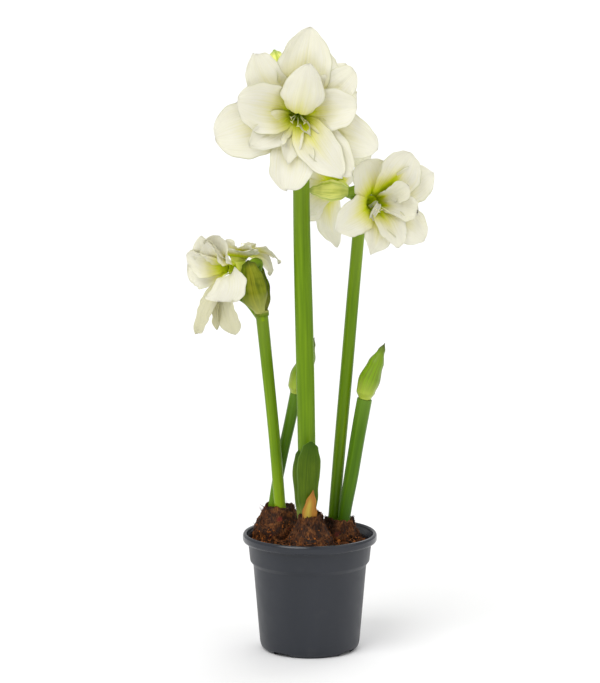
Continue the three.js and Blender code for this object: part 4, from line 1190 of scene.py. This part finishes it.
# %% Spathe shapes
SPATHES = {
    "spathe_left": ("stem_left", [
        {
            "path": [(-53.8, -2.4, 378), (-60.5, -12.5, 397), (-64.5, -19.5, 421), (-68, -24, 441)],
            "face": (-0.1, -1, 0.05), "cup": 0.85,
            "widths": [(0, 13), (0.34, 34), (0.68, 30), (0.9, 17), (1, 7)],
        },
        {
            "path": [(-51, 11, 378), (-50.6, 17, 398), (-54.6, 19, 418), (-61, 16, 438)],
            "face": (0.35, 0.94, 0.05), "cup": 0.9,
            "widths": [(0, 11), (0.4, 24), (0.75, 17), (1, 5)],
        },
    ]),
    "spathe_centre": ("stem_centre", [
        {
            "path": [(-18.4, -16, 548), (-26, -18, 562), (-30, -19, 578), (-29, -19, 596)],
            "face": (-1, 0, 0.1), "cup": 0.7, "widths": [(0, 13), (0.4, 19), (1, 5)],
        },
        {
            "path": [(-1.6, -16, 548), (6, -18, 562), (10, -20, 578), (8, -21, 592)],
            "face": (1, 0, 0.1), "cup": 0.7, "widths": [(0, 13), (0.4, 19), (1, 5)],
        },
    ]),
    "spathe_right": ("stem_right", [
        {
            "path": [(61, 10, 473), (69, 11, 482), (73, 13, 494), (71, 15, 508)],
            "face": (1, 0, 0.1), "cup": 0.7, "widths": [(0, 10), (0.4, 15), (1, 5)],
        },
        {
            "path": [(50.2, 15.4, 473), (45, 22, 479), (42, 26, 485), (41, 28, 491)],
            "face": (-0.5, 0.9, 0.1), "cup": 0.7, "widths": [(0, 9), (0.4, 13), (1, 5)],
        },
    ]),
}
print(sum(len(valves) for _, valves in SPATHES.values()), "valves")

HOOP = [(0.15, -3), (0.9, -3), (1.25, -1.8), (1.15, 0.2), (1.3, 2.0), (0.9, 3), (0.15, 3)]
HOOP_SIDES = 48
HOOP_TINT = [-0.1, -0.08, 0.05]  # what its points carry as `along`, from its foot to its top


# %% Rings and valves
def hoop(stem):
    """The ring that the valves share round the top of their stem."""
    line = Path(stem["path"])
    end, ahead = line.at(1.0), line.ahead(1.0)
    right = unit(np.cross((0, 1, 0), ahead))
    top = np.cross(ahead, right)
    angle = circle(HOOP_SIDES)[None, :, None]
    past, height = np.array(HOOP).T[..., None, None]
    points = end + (stem["radius"][2] + past) * (np.cos(angle) * right + np.sin(angle) * top) + height * ahead
    points = points.reshape(-1, 3)
    faces = outwards(points, ring_faces(len(HOOP), HOOP_SIDES, endless=True))
    low = np.repeat(np.interp(height.ravel(), [-3, 1, 3], HOOP_TINT), HOOP_SIDES)
    return points, faces, {"blade": xyz(0.5, low, 0)}


for name, (stem_name, valves) in SPATHES.items():
    parts = [hoop(STEMS[stem_name])]
    for k, valve in enumerate(valves):
        parts.append(leaf_blade(valve, thickness=0.8, edge_wave=0.9, seed=11 + k, rib=-0.3, tip_roll=2.0))
    settle(build(name + "_valves", parts, spathe), "spathe_olive", name)

# %% [markdown]
# ## Buds
# Two short stems still carry closed heads: two valves pressed together like hands, with a seam down
# either side. The buds beside the open blooms have left their valves and show three outer tepals
# that meet in ridges. Both are stacks of rings whose section is pushed in and out by angle.

# %% Bud finishes
BUD_STREAKS = 5


def bud_finish(name, body, groove, foot, tip):
    """Green with darker lines; `spot` is (round, along, how close to a crease)."""
    made = Finish(name, Roughness=0.4, IOR=1.42, Specular_IOR_Level=0.35)
    made.wear(Coat_Weight=0.05, Coat_Roughness=0.3)
    spot, (_, along, crease) = made.vector("spot")
    lines = made.noise(spot, (BUD_STREAKS, 1.4, 0), detail=4)
    bright = tuple(min(1, 1.35 * c) for c in body)
    colour = made.coated(
        made.shades(lines, (0.3, groove), (0.5, body), (0.72, bright)),
        (made.between(along, 0.0, 0.4, 0.95, 0.0), foot),
        (made.maths("MULTIPLY", crease, 0.9), groove),
        (made.between(along, 0.80, 0.98), tip),
    )
    made.wear(Base_Color=colour, Normal=made.relief(lines, 0.25))
    return made


closed_skin = bud_finish(
    "closed_bud_skin", body=(0.17, 0.30, 0.004), groove=(0.15, 0.13, 0.02),
    foot=(0.44, 0.54, 0.06), tip=(0.06, 0.08, 0.015),
)
open_skin = bud_finish(
    "flower_bud_skin", body=(0.80, 0.83, 0.22), groove=(0.42, 0.52, 0.03),
    foot=(0.54, 0.62, 0.14), tip=(0.27, 0.39, 0.05),
)
print("bud finish:", len(closed_skin.tree.nodes), "nodes")

# %% Closed heads
CLOSED_BUDS = {
    "closed_bud_right": ("stem_right_front", [(71, -2, 318), (83, -2, 346)], 13.6),
    "closed_bud_left": ("stem_left_back", [(-4, 12, 322), (5, 11, 350)], 13.4),
}
BUD_SWELL = [(0, 0.58), (0.12, 0.86), (0.32, 1), (0.62, 0.74), (0.86, 0.34), (1, 0.03)]
HEAD_RINGS, BUD_SIDES = 80, 72
HEAD_START, FLATNESS = 12, 0.86  # a straight stretch above the stem; how flat its section is
SEAM_WIDTH = 0.16
VALVE_STEP, VALVE_TURN = 0.035, 0.32  # how far one valve stands over the other, and the step's breadth


def seam(angle):
    """1 on the two seams of a closed head, falling off to either side."""
    return np.exp(-((np.sin(angle) / SEAM_WIDTH) ** 2))


def settle_bud(name, rings, share, angle, crease, tip_crease, finish):
    """Closes the rings of a bud and gives its points their `spot` vector."""
    points, faces = stack(rings)
    spot = xyz(2 * np.cos(angle) + np.sin(angle), share, crease).reshape(-1, 3)
    spot = np.vstack([spot, (0, 0, 0), (0, 1, tip_crease)])
    settle(build(name + "_head", [(points, faces, {"spot": spot})], finish), "bud_green", name)


for name, (stem_name, bend, radius) in CLOSED_BUDS.items():
    stem_line = Path(STEMS[stem_name]["path"])
    foot = stem_line.at(1.0) + STALK_GAP * stem_line.ahead(1.0)
    line = Path([foot, foot + HEAD_START * stem_line.ahead(1.0), *bend])
    share, angle = np.linspace(0, 1, HEAD_RINGS)[:, None], circle(BUD_SIDES)[None]
    ahead = line.ahead(share[:, 0])[:, None]
    right = unit(np.cross((0, 1, 0), ahead))
    back = np.cross(ahead, right)
    section = 1 + VALVE_STEP * seam(angle) - VALVE_STEP * seam(angle + VALVE_TURN)
    size = radius * ramp(BUD_SWELL, share) * (section + 0.008 * np.cos(17 * angle + 3 * share))
    rings = line.at(share[:, 0])[:, None] + right * (FLATNESS * size * np.cos(angle))[..., None]
    rings = rings + back * (size * np.sin(angle))[..., None]
    settle_bud(name, rings, share, angle, seam(angle), 1, closed_skin)

# %% Flower buds
BUD_LENGTH, BUD_RADIUS, BUD_RINGS = 46, 12, 60
JOINT_WIDTH = 0.28
for name, shape in FLOWER_BUDS.items():
    axes, at = standing(shape)
    share, angle = np.linspace(0, 1, BUD_RINGS)[:, None], circle(BUD_SIDES)[None]
    joint = np.exp(-((np.cos(1.5 * angle) / JOINT_WIDTH) ** 2))
    radius = BUD_RADIUS * ramp(shape["outline"], share) * (1 + 0.045 * np.cos(3 * angle) - 0.055 * joint)
    radius = radius * (1 + 0.012 * np.cos(18 * angle))
    rings = xyz(radius * np.cos(angle), radius * np.sin(angle), BUD_LENGTH * share)
    settle_bud(name, rings @ axes + at, share, angle, joint, 0, open_skin)

# %% [markdown]
# ## Bulbs
# A bulb is wrapped in dry brown scales, each the foot of an old leaf. They end in ragged edges that
# stand out round the neck, they split lengthwise, and their fibres fray. The body of the bulb is a
# stack of rings in the frame's own outline. The loose scales are thin sheets laid round it, and the
# frayed fibres are strands for the sweep recipe.

# %% Bulb shapes
BULBS = {
    "bulb_left": {
        "at": (-34.8, 13.6), "top": 160, "deep": 1.0, "seed": 1,
        "outline": [(17, 0), (18.6, 5), (21.2, 11), (24.6, 19), (26.8, 28), (26.2, 42), (21.5, 61), (8, 76)],
    },
    "bulb_centre": {
        "at": (0.5, -30), "top": 160, "deep": 1.18, "seed": 2,
        "outline": [(13, 0), (13.8, 6), (15.6, 13), (20, 21), (24.2, 30), (26, 44), (22, 62), (8, 77)],
    },
    "bulb_right": {
        "at": (33, 12), "top": 147, "deep": 1.0, "seed": 3,
        "outline": [(16.4, 0), (17.2, 5), (19, 11), (22, 19), (24.4, 27), (25, 39), (20, 56), (7, 70)],
    },
}
BULB_LAYERS = 4
LAYER_STEP, LAYER_GAP = 0.75, 9.5  # how far a layer stands out over the last, and starts below it


def bulb_radius(bulb, turn, depth):
    """The bulb's radius at an angle and a depth under its neck: its outline and its layers."""
    radii, depths = np.array(bulb["outline"], float).T
    seed, relief = bulb["seed"], -LAYER_STEP * BULB_LAYERS / 2
    for layer in range(BULB_LAYERS):
        edge = 4 + LAYER_GAP * layer + 2.4 * np.sin(turn * (2 + layer) + seed * 2.1 + layer * 1.7)
        edge = edge + 0.5 * np.sin(turn * 23 + layer) + 0.4 * np.sin(turn * 41 + seed)
        relief = relief + LAYER_STEP * ease((depth - edge) / 0.9)
    relief = relief + 0.5 * np.sin(turn * 5 + seed + depth * 0.12)
    relief = relief + 0.18 * np.cos(turn * 58 + 3 * np.sin(depth * 0.2)) + 0.12 * np.cos(turn * 87 + seed)
    return np.interp(depth, depths, radii) + relief


def on_bulb(bulb, radius, turn, depth):
    """Points round a bulb's axis."""
    x = bulb["at"][0] + radius * np.cos(turn)
    y = bulb["at"][1] + radius * bulb["deep"] * np.sin(turn)
    return xyz(x, y, bulb["top"] - depth)


print({name: round(2 * max(bulb["outline"])[0]) for name, bulb in BULBS.items()}, "mm wide")


# %% Bulb finish
husk = Finish("bulb_skin", Roughness=0.62, IOR=1.45, Specular_IOR_Level=0.2)
blade, (_, _, loose) = husk.vector("blade")
fibres = husk.noise(blade, (9, 1.2, 1), detail=5)
blots = husk.noise(husk.here(), 95, detail=4)
specks = husk.noise(husk.here(), 700, detail=2)
worn = husk.maths("MULTIPLY", husk.between(loose, 0.0, 1.0), husk.between(blots, 0.45, 0.65, 0.1, 0.7))
brown = husk.shades(
    husk.maths("MULTIPLY_ADD", fibres, 0.5, husk.maths("MULTIPLY", blots, 0.5)),
    (0.40, (0.006, 0.002, 0.001)), (0.47, (0.026, 0.008, 0.002)), (0.55, (0.085, 0.026, 0.006)),
    (0.65, (0.26, 0.10, 0.025)),
)
brown = husk.coated(
    brown,
    (husk.between(specks, 0.56, 0.7, 0.0, 0.7), (0.02, 0.012, 0.008)),
    (worn, (0.19, 0.08, 0.028)),
    (husk.between(husk.noise(husk.here(), 42), 0.66, 0.72, 0.0, 0.6), (0.20, 0.018, 0.010)),  # red blotches
)
husk.wear(
    Base_Color=brown,
    Roughness=husk.between(blots, 0.3, 0.7, 0.45, 0.8),
    Normal=husk.relief(specks, 0.2, husk.relief(fibres, 0.5)),
)
print("bulb finish:", len(husk.tree.nodes), "nodes")

# %% Bulb bodies
BULB_SIDES = 200
SHOWN, SHOWN_RINGS, HIDDEN_RINGS = 48, 58, 8  # the rings are close down to the bed, and few below it
RAG = 1.3
NECK_DISH = [(4.5, 4.2), (3.2, 3.0), (2.2, 0.8)]  # in from the neck's edge, and down


def bulb_body(bulb):
    """A bulb from its outline, with a ragged rim and a shallow dish in its neck."""
    turn = circle(BULB_SIDES)[None]
    end = bulb["outline"][-1][1]
    depth = np.concatenate([np.linspace(0, SHOWN, SHOWN_RINGS), np.linspace(SHOWN + 2, end, HIDDEN_RINGS)])
    depth = depth[:, None]
    rag = RAG * np.sin(3 * turn + bulb["seed"]) + 0.8 * np.sin(19 * turn) * np.cos(31 * turn)
    body = on_bulb(bulb, bulb_radius(bulb, turn, depth), turn, depth - rag * (1 - ease(depth / 4)))
    rings = []
    for inwards, down in NECK_DISH:
        radius = bulb["outline"][0][0] - inwards + 0.4 * np.sin(9 * turn)
        rings.append(on_bulb(bulb, radius, turn, down - rag * (down < 2)))
    points, faces = stack(np.concatenate([*rings, body]))
    along = np.linspace(0, 4, len(rings) + len(depth))[:, None]
    blade = xyz(3 * np.cos(turn), along, 0).reshape(-1, 3)
    return points, faces, {"blade": np.concatenate([blade, np.zeros((2, 3))])}


# %% Loose scales
SCALE_ROWS, SCALE_COLUMNS = 14, 32
SCALE_THICKNESS, SCALE_GAP = 0.45, 0.35
SCALES_A_LAYER = 4
SCALE_LAYERS = [(0.5, 18), (1.5, 24), (8, 32), (13, 38), (19, 44)]  # the depths of their tops and feet


def loose_scale(bulb, turn, reach, top, foot, lift, curl, seed):
    """A thin ragged sheet that lies round the bulb from the depth `top` down to `foot`."""
    rng = np.random.default_rng(seed)
    u, k = np.linspace(-1, 1, SCALE_COLUMNS)[None], np.linspace(0, 1, SCALE_ROWS)[:, None] ** 1.5
    ragged = rng.uniform(-1, 1, SCALE_COLUMNS)[None] * 0.7
    ragged = ragged + 1.6 * np.sin(3.1 * u + seed) + 1.0 * np.sin(7.7 * u + 2 * seed) + 5 * u**4
    angle = turn + reach * u * (0.75 + 0.25 * ease(k / 0.4))
    depth = mix(top + ragged, foot, k)
    away = lift * (1 - ease(k)) + curl * (1 - ease(k / 0.22)) * (0.6 + 0.4 * np.sin(5 * u + seed))
    radius = bulb_radius(bulb, angle, depth) + SCALE_GAP + away
    sheet = on_bulb(bulb, radius, angle, depth)
    points, faces, source = shell(sheet, facing(sheet), SCALE_THICKNESS)
    blade = xyz(2 * angle + seed, 3 * k + seed % 7, 1 - ease(k / 0.18))
    return points, faces, {"blade": blade.reshape(-1, 3)[source]}


for name, bulb in BULBS.items():
    rng = np.random.default_rng(40 + bulb["seed"])
    parts = [bulb_body(bulb)]
    for layer, (top, foot) in enumerate(SCALE_LAYERS):
        for k in range(SCALES_A_LAYER):
            turn = 2 * math.pi * (k + 0.37 * layer + rng.uniform(-0.1, 0.1)) / SCALES_A_LAYER
            reach, lift = rng.uniform(0.5, 0.85), rng.uniform(0.0, 0.5)
            curl, seed = rng.uniform(0.2, 1.5), int(rng.integers(1000))
            parts.append(loose_scale(bulb, turn, reach, top + rng.uniform(-1, 2.5), foot, lift, curl, seed))
    settle(build(name + "_scales", parts, husk), "bulb_skin", name)

# %% Frayed fibres
def fibre_finish(name, lumps, dark, middle, light, **sockets):
    """Dull brown with patches, `lumps` of them a metre; the relief runs along the fibre."""
    made = Finish(name, **sockets)
    mottle = made.noise(made.here(), lumps)
    made.wear(
        Base_Color=made.shades(mottle, (0.35, dark), (0.55, middle), (0.75, light)),
        Normal=made.relief(made.number("share"), 0.1),
    )
    return made


fray = fibre_finish(
    "frayed_fibre", 240, (0.025, 0.012, 0.008), (0.10, 0.04, 0.016), (0.28, 0.12, 0.04), Roughness=0.8
)
FRAYED, FRAY_POINTS = 70, 7  # fibres a bulb, and points a fibre
FRAY_DEPTHS = [0.5, 0.5, 6, 13, 22]  # the edges that they hang from
for name, bulb in BULBS.items():
    rng = np.random.default_rng(60 + bulb["seed"])
    lines = []
    for _ in range(FRAYED):
        turn, depth = rng.uniform(0, 2 * math.pi), rng.choice(FRAY_DEPTHS) + rng.uniform(-0.5, 1.5)
        foot = on_bulb(bulb, bulb_radius(bulb, turn, depth + 2), turn, depth + 2)
        out = unit(foot - np.array([*bulb["at"], foot[2]]))
        aside = np.cross(out, (0, 0, 1))
        length = rng.uniform(2, 6.5)
        rise, lean, drift = rng.uniform(0.5, 1), rng.uniform(0.1, 0.9), rng.uniform(-0.7, 0.7)
        tip = foot + length * (np.array([0, 0, rise]) + lean * out + drift * aside)
        middle = (foot + tip) / 2 + length * rng.uniform(-0.2, 0.25) * out
        share = np.linspace(0, 1, FRAY_POINTS)
        lines.append((Path([foot, middle, tip]).at(share), mix(rng.uniform(0.2, 0.45), 0.06, share)))
    settle(swept(name + "_fray", lines, fray, sides=5), "bulb_skin", name)

# %% [markdown]
# ## Peat
# The bed is one closed lump up to its surface, heaped between the bulbs. On it lie thousands of
# crumbs and some coir fibres, and more of both cling to the bulbs' flanks. The strewing recipe
# scatters points over a host surface, sets a lump on each at a random turn and size, and roughens
# them all with one noise, so that no two are alike. The fibres are strands for the sweep recipe.

# %% The bed
POT_EDGE = 64.9
WALL = [(52.1, 6.0), (54.1, 9.3), (61.4, 97.3), (64.9, 102.7)]
SOIL_LEVEL = 119
SLOPE = (-0.035, -0.05)  # the bed is higher on the left and in front
BULB_HEAP, BULB_HEAP_WIDTH = 7, 30
HEAP, HEAP_WIDTH, HEAP_AT = 5, 15, (50, -6)  # a heap on the right
BED_SIDES, BED_RINGS = 180, 80


def soil_height(x, y):
    """The height of the bed: a gentle slope with heaps round the bulbs and one on the right."""
    height = SOIL_LEVEL + SLOPE[0] * x + SLOPE[1] * y
    for bulb in BULBS.values():
        far = np.hypot(x - bulb["at"][0], y - bulb["at"][1])
        height = height + BULB_HEAP * np.exp(-((far / BULB_HEAP_WIDTH) ** 2))
    height = height + HEAP * np.exp(-(np.hypot(x - HEAP_AT[0], y - HEAP_AT[1]) / HEAP_WIDTH) ** 2)
    return height + 0.9 * np.sin(x * 0.21 + 1) * np.cos(y * 0.17) + 0.5 * np.sin(x * 0.43 - y * 0.39)


turn = circle(BED_SIDES)
radius = POT_EDGE * np.linspace(1, 0.02, BED_RINGS)[:, None]
x, y = radius * np.cos(turn), radius * np.sin(turn)
flat = xyz(x, y, 0)
surface = xyz(x, y, soil_height(x, y) + (0.9 * waves(flat, 9, 5) + 0.45 * waves(flat, 3.2, 6)))
points, faces = stack(np.concatenate([lathe(WALL, BED_SIDES), surface]))

peat = Finish("peat_crumb", Roughness=0.92, Specular_IOR_Level=0.15)
mottle = peat.noise(peat.here(), 320, detail=4)
fine = peat.noise(peat.here(), 1400, detail=2)
peat.wear(
    Base_Color=peat.shades(
        peat.maths("MULTIPLY_ADD", mottle, 0.5, peat.maths("MULTIPLY", peat.number("shade"), 0.62)),
        (0.24, (0.005, 0.002, 0.001)), (0.44, (0.024, 0.008, 0.002)), (0.62, (0.11, 0.032, 0.007)),
        (0.86, (0.38, 0.12, 0.022)),
    ),
    Normal=peat.relief(fine, 0.4, peat.relief(mottle, 0.8)),
)
BED_SHADE = 0.25  # the crumbs' own shades go from 0 to 1
bed = build("peat_bed", [(points, faces, {"shade": np.full(len(points), BED_SHADE)})], peat)
settle(bed, "peat", "soil")

# %% The strewing recipe
strew = Recipe("strew_lumps", Density="Float", Smallest="Float", Largest="Float", Facets="Int", Seed="Int")
wanted = strew.given
spots = strew.make("GeometryNodeDistributePointsOnFaces", {
    "Mesh": wanted["Geometry"], "Density": wanted["Density"], "Seed": wanted["Seed"],
})
few_large = strew.maths("POWER", strew.random(0.0, 1.0, 6), 3.0)
spread = strew.maths("SUBTRACT", wanted["Largest"], wanted["Smallest"])
size = strew.maths("MULTIPLY_ADD", few_large, spread, wanted["Smallest"])
lumps = strew.make("GeometryNodeInstanceOnPoints", {
    "Points": strew.store(spots, "shade", strew.random(0.0, 1.0, 3)),
    "Instance": strew.make("GeometryNodeMeshIcoSphere", {"Radius": 1.0, "Subdivisions": wanted["Facets"]}),
    "Rotation": strew.make("FunctionNodeEulerToRotation", {0: strew.random((0, 0, 0), (6.3, 6.3, 6.3), 4)}),
    "Scale": strew.scaled(strew.random((0.5, 0.5, 0.5), (1, 1, 1), 5), size),
})
whole = strew.make("GeometryNodeRealizeInstances", {"Geometry": lumps})
rough = strew.add("ShaderNodeTexNoise", {"Scale": 900.0, "Detail": 2.0}).outputs["Color"]
pushed = strew.make("ShaderNodeVectorMath", {0: rough, 1: (0.5, 0.5, 0.5)}, operation="SUBTRACT")
shift = strew.scaled(pushed, 1.8 * MM)
strew.end(strew.make("GeometryNodeSetPosition", {"Geometry": whole, "Offset": shift}))
print("strewing recipe has", len(strew.tree.nodes), "nodes")

# %% Strew crumbs on the bed
CRUMBS = {
    "peat_lumps": {"Density": 1.1e5, "Smallest": 0.8 * MM, "Largest": 3.2 * MM, "Facets": 2, "Seed": 7},
    "peat_crumbs": {"Density": 3.6e5, "Smallest": 0.45 * MM, "Largest": 1.8 * MM, "Facets": 1, "Seed": 8},
}
BULB_CLEARANCE = 0.5


def in_bulb(bulb, x, y, z, swell):
    """True for a point inside a bulb, or less than `swell` outside it."""
    dx, dy = x - bulb["at"][0], (y - bulb["at"][1]) / bulb["deep"]
    depth = np.maximum(0, bulb["top"] - z)
    return np.hypot(dx, dy) < bulb_radius(bulb, np.arctan2(dy, dx), depth) + swell


def covered(x, y, swell):
    """True where one of the bulbs covers the bed."""
    return np.any([in_bulb(bulb, x, y, soil_height(x, y), swell) for bulb in BULBS.values()], axis=0)


def crumb_host(rings, keep):
    """A bare surface to strew on: the faces between rings whose middles are kept."""
    flat = rings.reshape(-1, 3)
    quads = ring_faces(*rings.shape[:2])
    quads = quads[keep(flat[quads].mean(1))]
    mesh = bpy.data.meshes.new("crumb_host")
    mesh.from_pydata((flat * MM).tolist(), [], quads.tolist())
    return link("crumb_host", mesh)


for name, sizes in CRUMBS.items():
    host = crumb_host(surface, lambda spots: ~covered(spots[:, 0], spots[:, 1], BULB_CLEARANCE))
    settle(cook(strew, host, name, Material=peat.material, **sizes), "peat")

# %% Crumbs that cling to the bulbs
CLINGING = {"Density": 5.5e5, "Smallest": 0.35 * MM, "Largest": 1.9 * MM, "Facets": 1}
WRAP_SIDES, WRAP_RINGS = 96, 30
PATCH_SIZE = 7
CLINGING_FROM = 8  # millimetres under the neck
LOW_SHARE, LEAST = 2.6, 0.8  # more of the one gathers them low down, more of the other thins them


def clings(bulb, spots):
    """True where crumbs stick to a bulb: in patches that grow together towards the bed."""
    reach = bulb["top"] - SOIL_LEVEL - CLINGING_FROM - 4
    low = ease((bulb["top"] - spots[:, 2] - CLINGING_FROM) / reach)
    kept = waves(spots, PATCH_SIZE, 9 + bulb["seed"]) + LOW_SHARE * low > LEAST
    for other in BULBS.values():
        if other is not bulb:
            kept &= ~in_bulb(other, *spots.T, BULB_CLEARANCE)
    return kept


for name, bulb in BULBS.items():
    turn = circle(WRAP_SIDES)[None]
    depth = np.linspace(CLINGING_FROM + 1, bulb["top"] - SOIL_LEVEL - 2, WRAP_RINGS)[:, None]
    wrap = on_bulb(bulb, bulb_radius(bulb, turn, depth) + 0.2, turn, depth)
    host = crumb_host(wrap, lambda spots: clings(bulb, spots))
    seed = 70 + bulb["seed"]
    settle(cook(strew, host, name + "_crumbs", Seed=seed, Material=peat.material, **CLINGING), "peat")

# %% Coir fibres
FLANK_FIBRES, BED_FIBRES = 110, 260  # on each bulb, and on the bed
FIBRE_POINTS = 9

coir = fibre_finish(
    "coir_fibre", 60, (0.06, 0.022, 0.010), (0.24, 0.085, 0.026), (0.45, 0.19, 0.06),
    Roughness=0.75, Specular_IOR_Level=0.2,
)


def flank_fibre(rng, bulb):
    """A fibre stuck to a bulb, bowed off it in the middle, and its radius."""
    share = np.linspace(0, 1, FIBRE_POINTS)
    turn = rng.uniform(0, 2 * math.pi) + rng.uniform(-0.35, 0.35) * share
    depth = rng.uniform(8, bulb["top"] - SOIL_LEVEL - 4) + rng.uniform(-9, 9) * share
    lift = 0.3 + rng.uniform(0.2, 1.6) * np.sin(math.pi * share)
    return on_bulb(bulb, bulb_radius(bulb, turn, depth) + lift, turn, depth), rng.uniform(0.1, 0.24)


def bed_fibre(rng):
    """A bowed fibre on the bed and its radius, or None where a bulb or the pot leaves no room."""
    far, about = POT_EDGE * math.sqrt(rng.uniform(0, 0.93)), rng.uniform(0, 2 * math.pi)
    start = np.array([far * math.cos(about), far * math.sin(about)])
    if covered(*start, 1.0):
        return None
    heading, length, bow = rng.uniform(0, 2 * math.pi), rng.uniform(4, 18), rng.uniform(-0.9, 0.9)
    angle = heading + 2 * bow * np.linspace(-0.5, 0.5, FIBRE_POINTS)
    steps = np.stack([np.cos(angle), np.sin(angle)], -1)
    way = start + length * np.cumsum(steps, axis=0) / FIBRE_POINTS
    way = way[np.hypot(*way.T) < POT_EDGE - 1]
    if len(way) < 4:
        return None
    lift = 0.6 + rng.uniform(0, 1.6) * np.sin(np.linspace(0, math.pi, len(way)))
    return np.column_stack([way, soil_height(*way.T) + lift]), rng.uniform(0.12, 0.32)


rng = np.random.default_rng(21)
lines = [flank_fibre(rng, bulb) for bulb in BULBS.values() for _ in range(FLANK_FIBRES)]
while len(lines) < FLANK_FIBRES * len(BULBS) + BED_FIBRES:
    fibre = bed_fibre(rng)
    if fibre:
        lines.append(fibre)
settle(swept("coir_fibres", lines, coir, sides=4), "peat")

# %% [markdown]
# ## The pot
# A nursery pot is blown or moulded in thin plastic: a tapering body, a wider collar above a step, a
# rolled rim, and a raised floor with drain holes on a foot ring that is broken by notches. Its
# outline is turned round the axis in many sides, its corners are rounded by the outline itself, and
# a Boolean modifier cuts the notches and the holes.

# %% Pot finish
COLLAR = (0.1205, 0.1225)  # the heights in metres between which the plastic turns from dull to shiny
DULL, SHINY = 0.43, 0.2

plastic = Finish("pot_plastic", Roughness=DULL, IOR=1.46)
grain = plastic.noise(plastic.here(), 2400, detail=2)
flow = plastic.noise(plastic.here(), (30, 30, 5))
dust = plastic.noise(plastic.here(), 60, detail=5)
height = plastic.split(plastic.here())[2]
grey = plastic.shades(flow, (0.3, (0.014, 0.017, 0.024)), (0.7, (0.018, 0.021, 0.029)))
plastic.wear(
    Base_Color=plastic.blend(plastic.between(dust, 0.6, 0.8, 0.0, 0.12), grey, (0.08, 0.075, 0.07)),
    Roughness=plastic.maths(
        "ADD", plastic.between(height, *COLLAR, DULL, SHINY), plastic.between(dust, 0.3, 0.7, -0.04, 0.06)
    ),
    Normal=plastic.relief(flow, 0.25, plastic.relief(grain, 0.02)),
)
print("pot finish:", len(plastic.tree.nodes), "nodes")

# %% Turn the pot
POT_SIDES = 160
CORNER, CORNER_STEPS = 0.9, 4
LONGEST_STRETCH = 8
POT_OUTLINE = [
    (0, 0), (14, 0), (16, 4), (42, 4), (44, 0), (51, 0), (54.8, 4), (56, 9), (63.3, 96), (66.8, 100.6),
    (69, 121.4), (70, 122.2), (74, 122.4), (75, 124.4), (75, 129.6), (73.6, 131.6), (72.2, 132),
    (70.6, 131.0), (70.2, 128.8), (67.4, 122), (65.2, 102.4), (61.7, 97), (54.4, 9), (52.4, 5.6), (0, 5.6),
]


def rounded(outline):
    """The outline with each corner replaced by a small arc that starts CORNER before it."""
    outline = np.array(outline, float)
    made = [outline[0]]
    for a, b, c in zip(outline, outline[1:], outline[2:]):
        near = min(CORNER, 0.45 * np.linalg.norm(b - a), 0.45 * np.linalg.norm(c - b))
        start, end = b + near * unit(a - b), b + near * unit(c - b)
        for t in np.linspace(0, 1, CORNER_STEPS):
            made.append((1 - t) ** 2 * start + 2 * t * (1 - t) * b + t**2 * end)
    return np.array([*made, outline[-1]])


def subdivided(outline):
    """Extra points on long stretches, so that the faces stay well shaped."""
    made = [outline[0]]
    for a, b in zip(outline, outline[1:]):
        count = max(1, int(np.linalg.norm(b - a) / LONGEST_STRETCH))
        made.extend(a + (b - a) * t for t in np.linspace(0, 1, count + 1)[1:])
    return np.array(made)


outline = subdivided(rounded(POT_OUTLINE))[1:-1]  # its ends on the axis come from the stack
points, faces = stack(lathe(outline, POT_SIDES))
pot = build("pot_moulding", [(points, faces, {})], plastic)
print("pot:", len(outline), "rings of", POT_SIDES, "points")

# %% Cut the notches and the drain holes
NOTCHES = (53, 143, 233, 323)  # degrees round the pot
NOTCH_AT, NOTCH_LENGTH, NOTCH_WIDTH, NOTCH_HEIGHT = 50, 20, 21, 4
DRAIN_HOLES, HOLE_AT, HOLE_RADIUS, HOLE_SIDES = 6, 29, 4, 32
HOLE_TURN = 20  # degrees from the pot's right to the first hole
SHARP_ANGLE = 40


def notch(turn):
    """A block across the foot ring, from below the pot up to the notch's roof."""
    c, s = math.cos(math.radians(turn)), math.sin(math.radians(turn))
    corners = np.array([(-1, -1), (1, -1), (1, 1), (-1, 1)]) * (NOTCH_LENGTH / 2, NOTCH_WIDTH / 2)
    square = (corners + (NOTCH_AT, 0)) @ np.array([[c, s], [-s, c]])
    return stack(np.stack([xyz(*square.T, z) for z in (-NOTCH_HEIGHT, NOTCH_HEIGHT)]))


def drain_hole(k):
    """A rod through the floor, where the hole with this number goes."""
    turn = np.radians(360 / DRAIN_HOLES * k + HOLE_TURN)
    rod = lathe([(HOLE_RADIUS, -2), (HOLE_RADIUS, 10)], HOLE_SIDES)
    return stack(rod + (HOLE_AT * math.cos(turn), HOLE_AT * math.sin(turn), 0))


cutters = [notch(turn) for turn in NOTCHES] + [drain_hole(k) for k in range(DRAIN_HOLES)]
cutter = build("pot_cutter", [(points, faces, {}) for points, faces in cutters], plastic)
cut = pot.modifiers.new("cut", "BOOLEAN")
cut.operation, cut.solver, cut.object = "DIFFERENCE", "EXACT", cutter
depsgraph = bpy.context.evaluated_depsgraph_get()
whole = bpy.data.meshes.new_from_object(pot.evaluated_get(depsgraph), depsgraph=depsgraph)
for spare in (pot, cutter):
    bpy.data.objects.remove(spare)
whole.shade_smooth()
whole.set_sharp_from_angle(angle=math.radians(SHARP_ANGLE))
settle(link("pot_moulding", whole), "pot_plastic", "pot")

# %% Sizes and the end
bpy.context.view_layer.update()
total = sum(len(p.vertices) - 2 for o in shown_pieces() for p in o.data.polygons)
print("triangles", total)
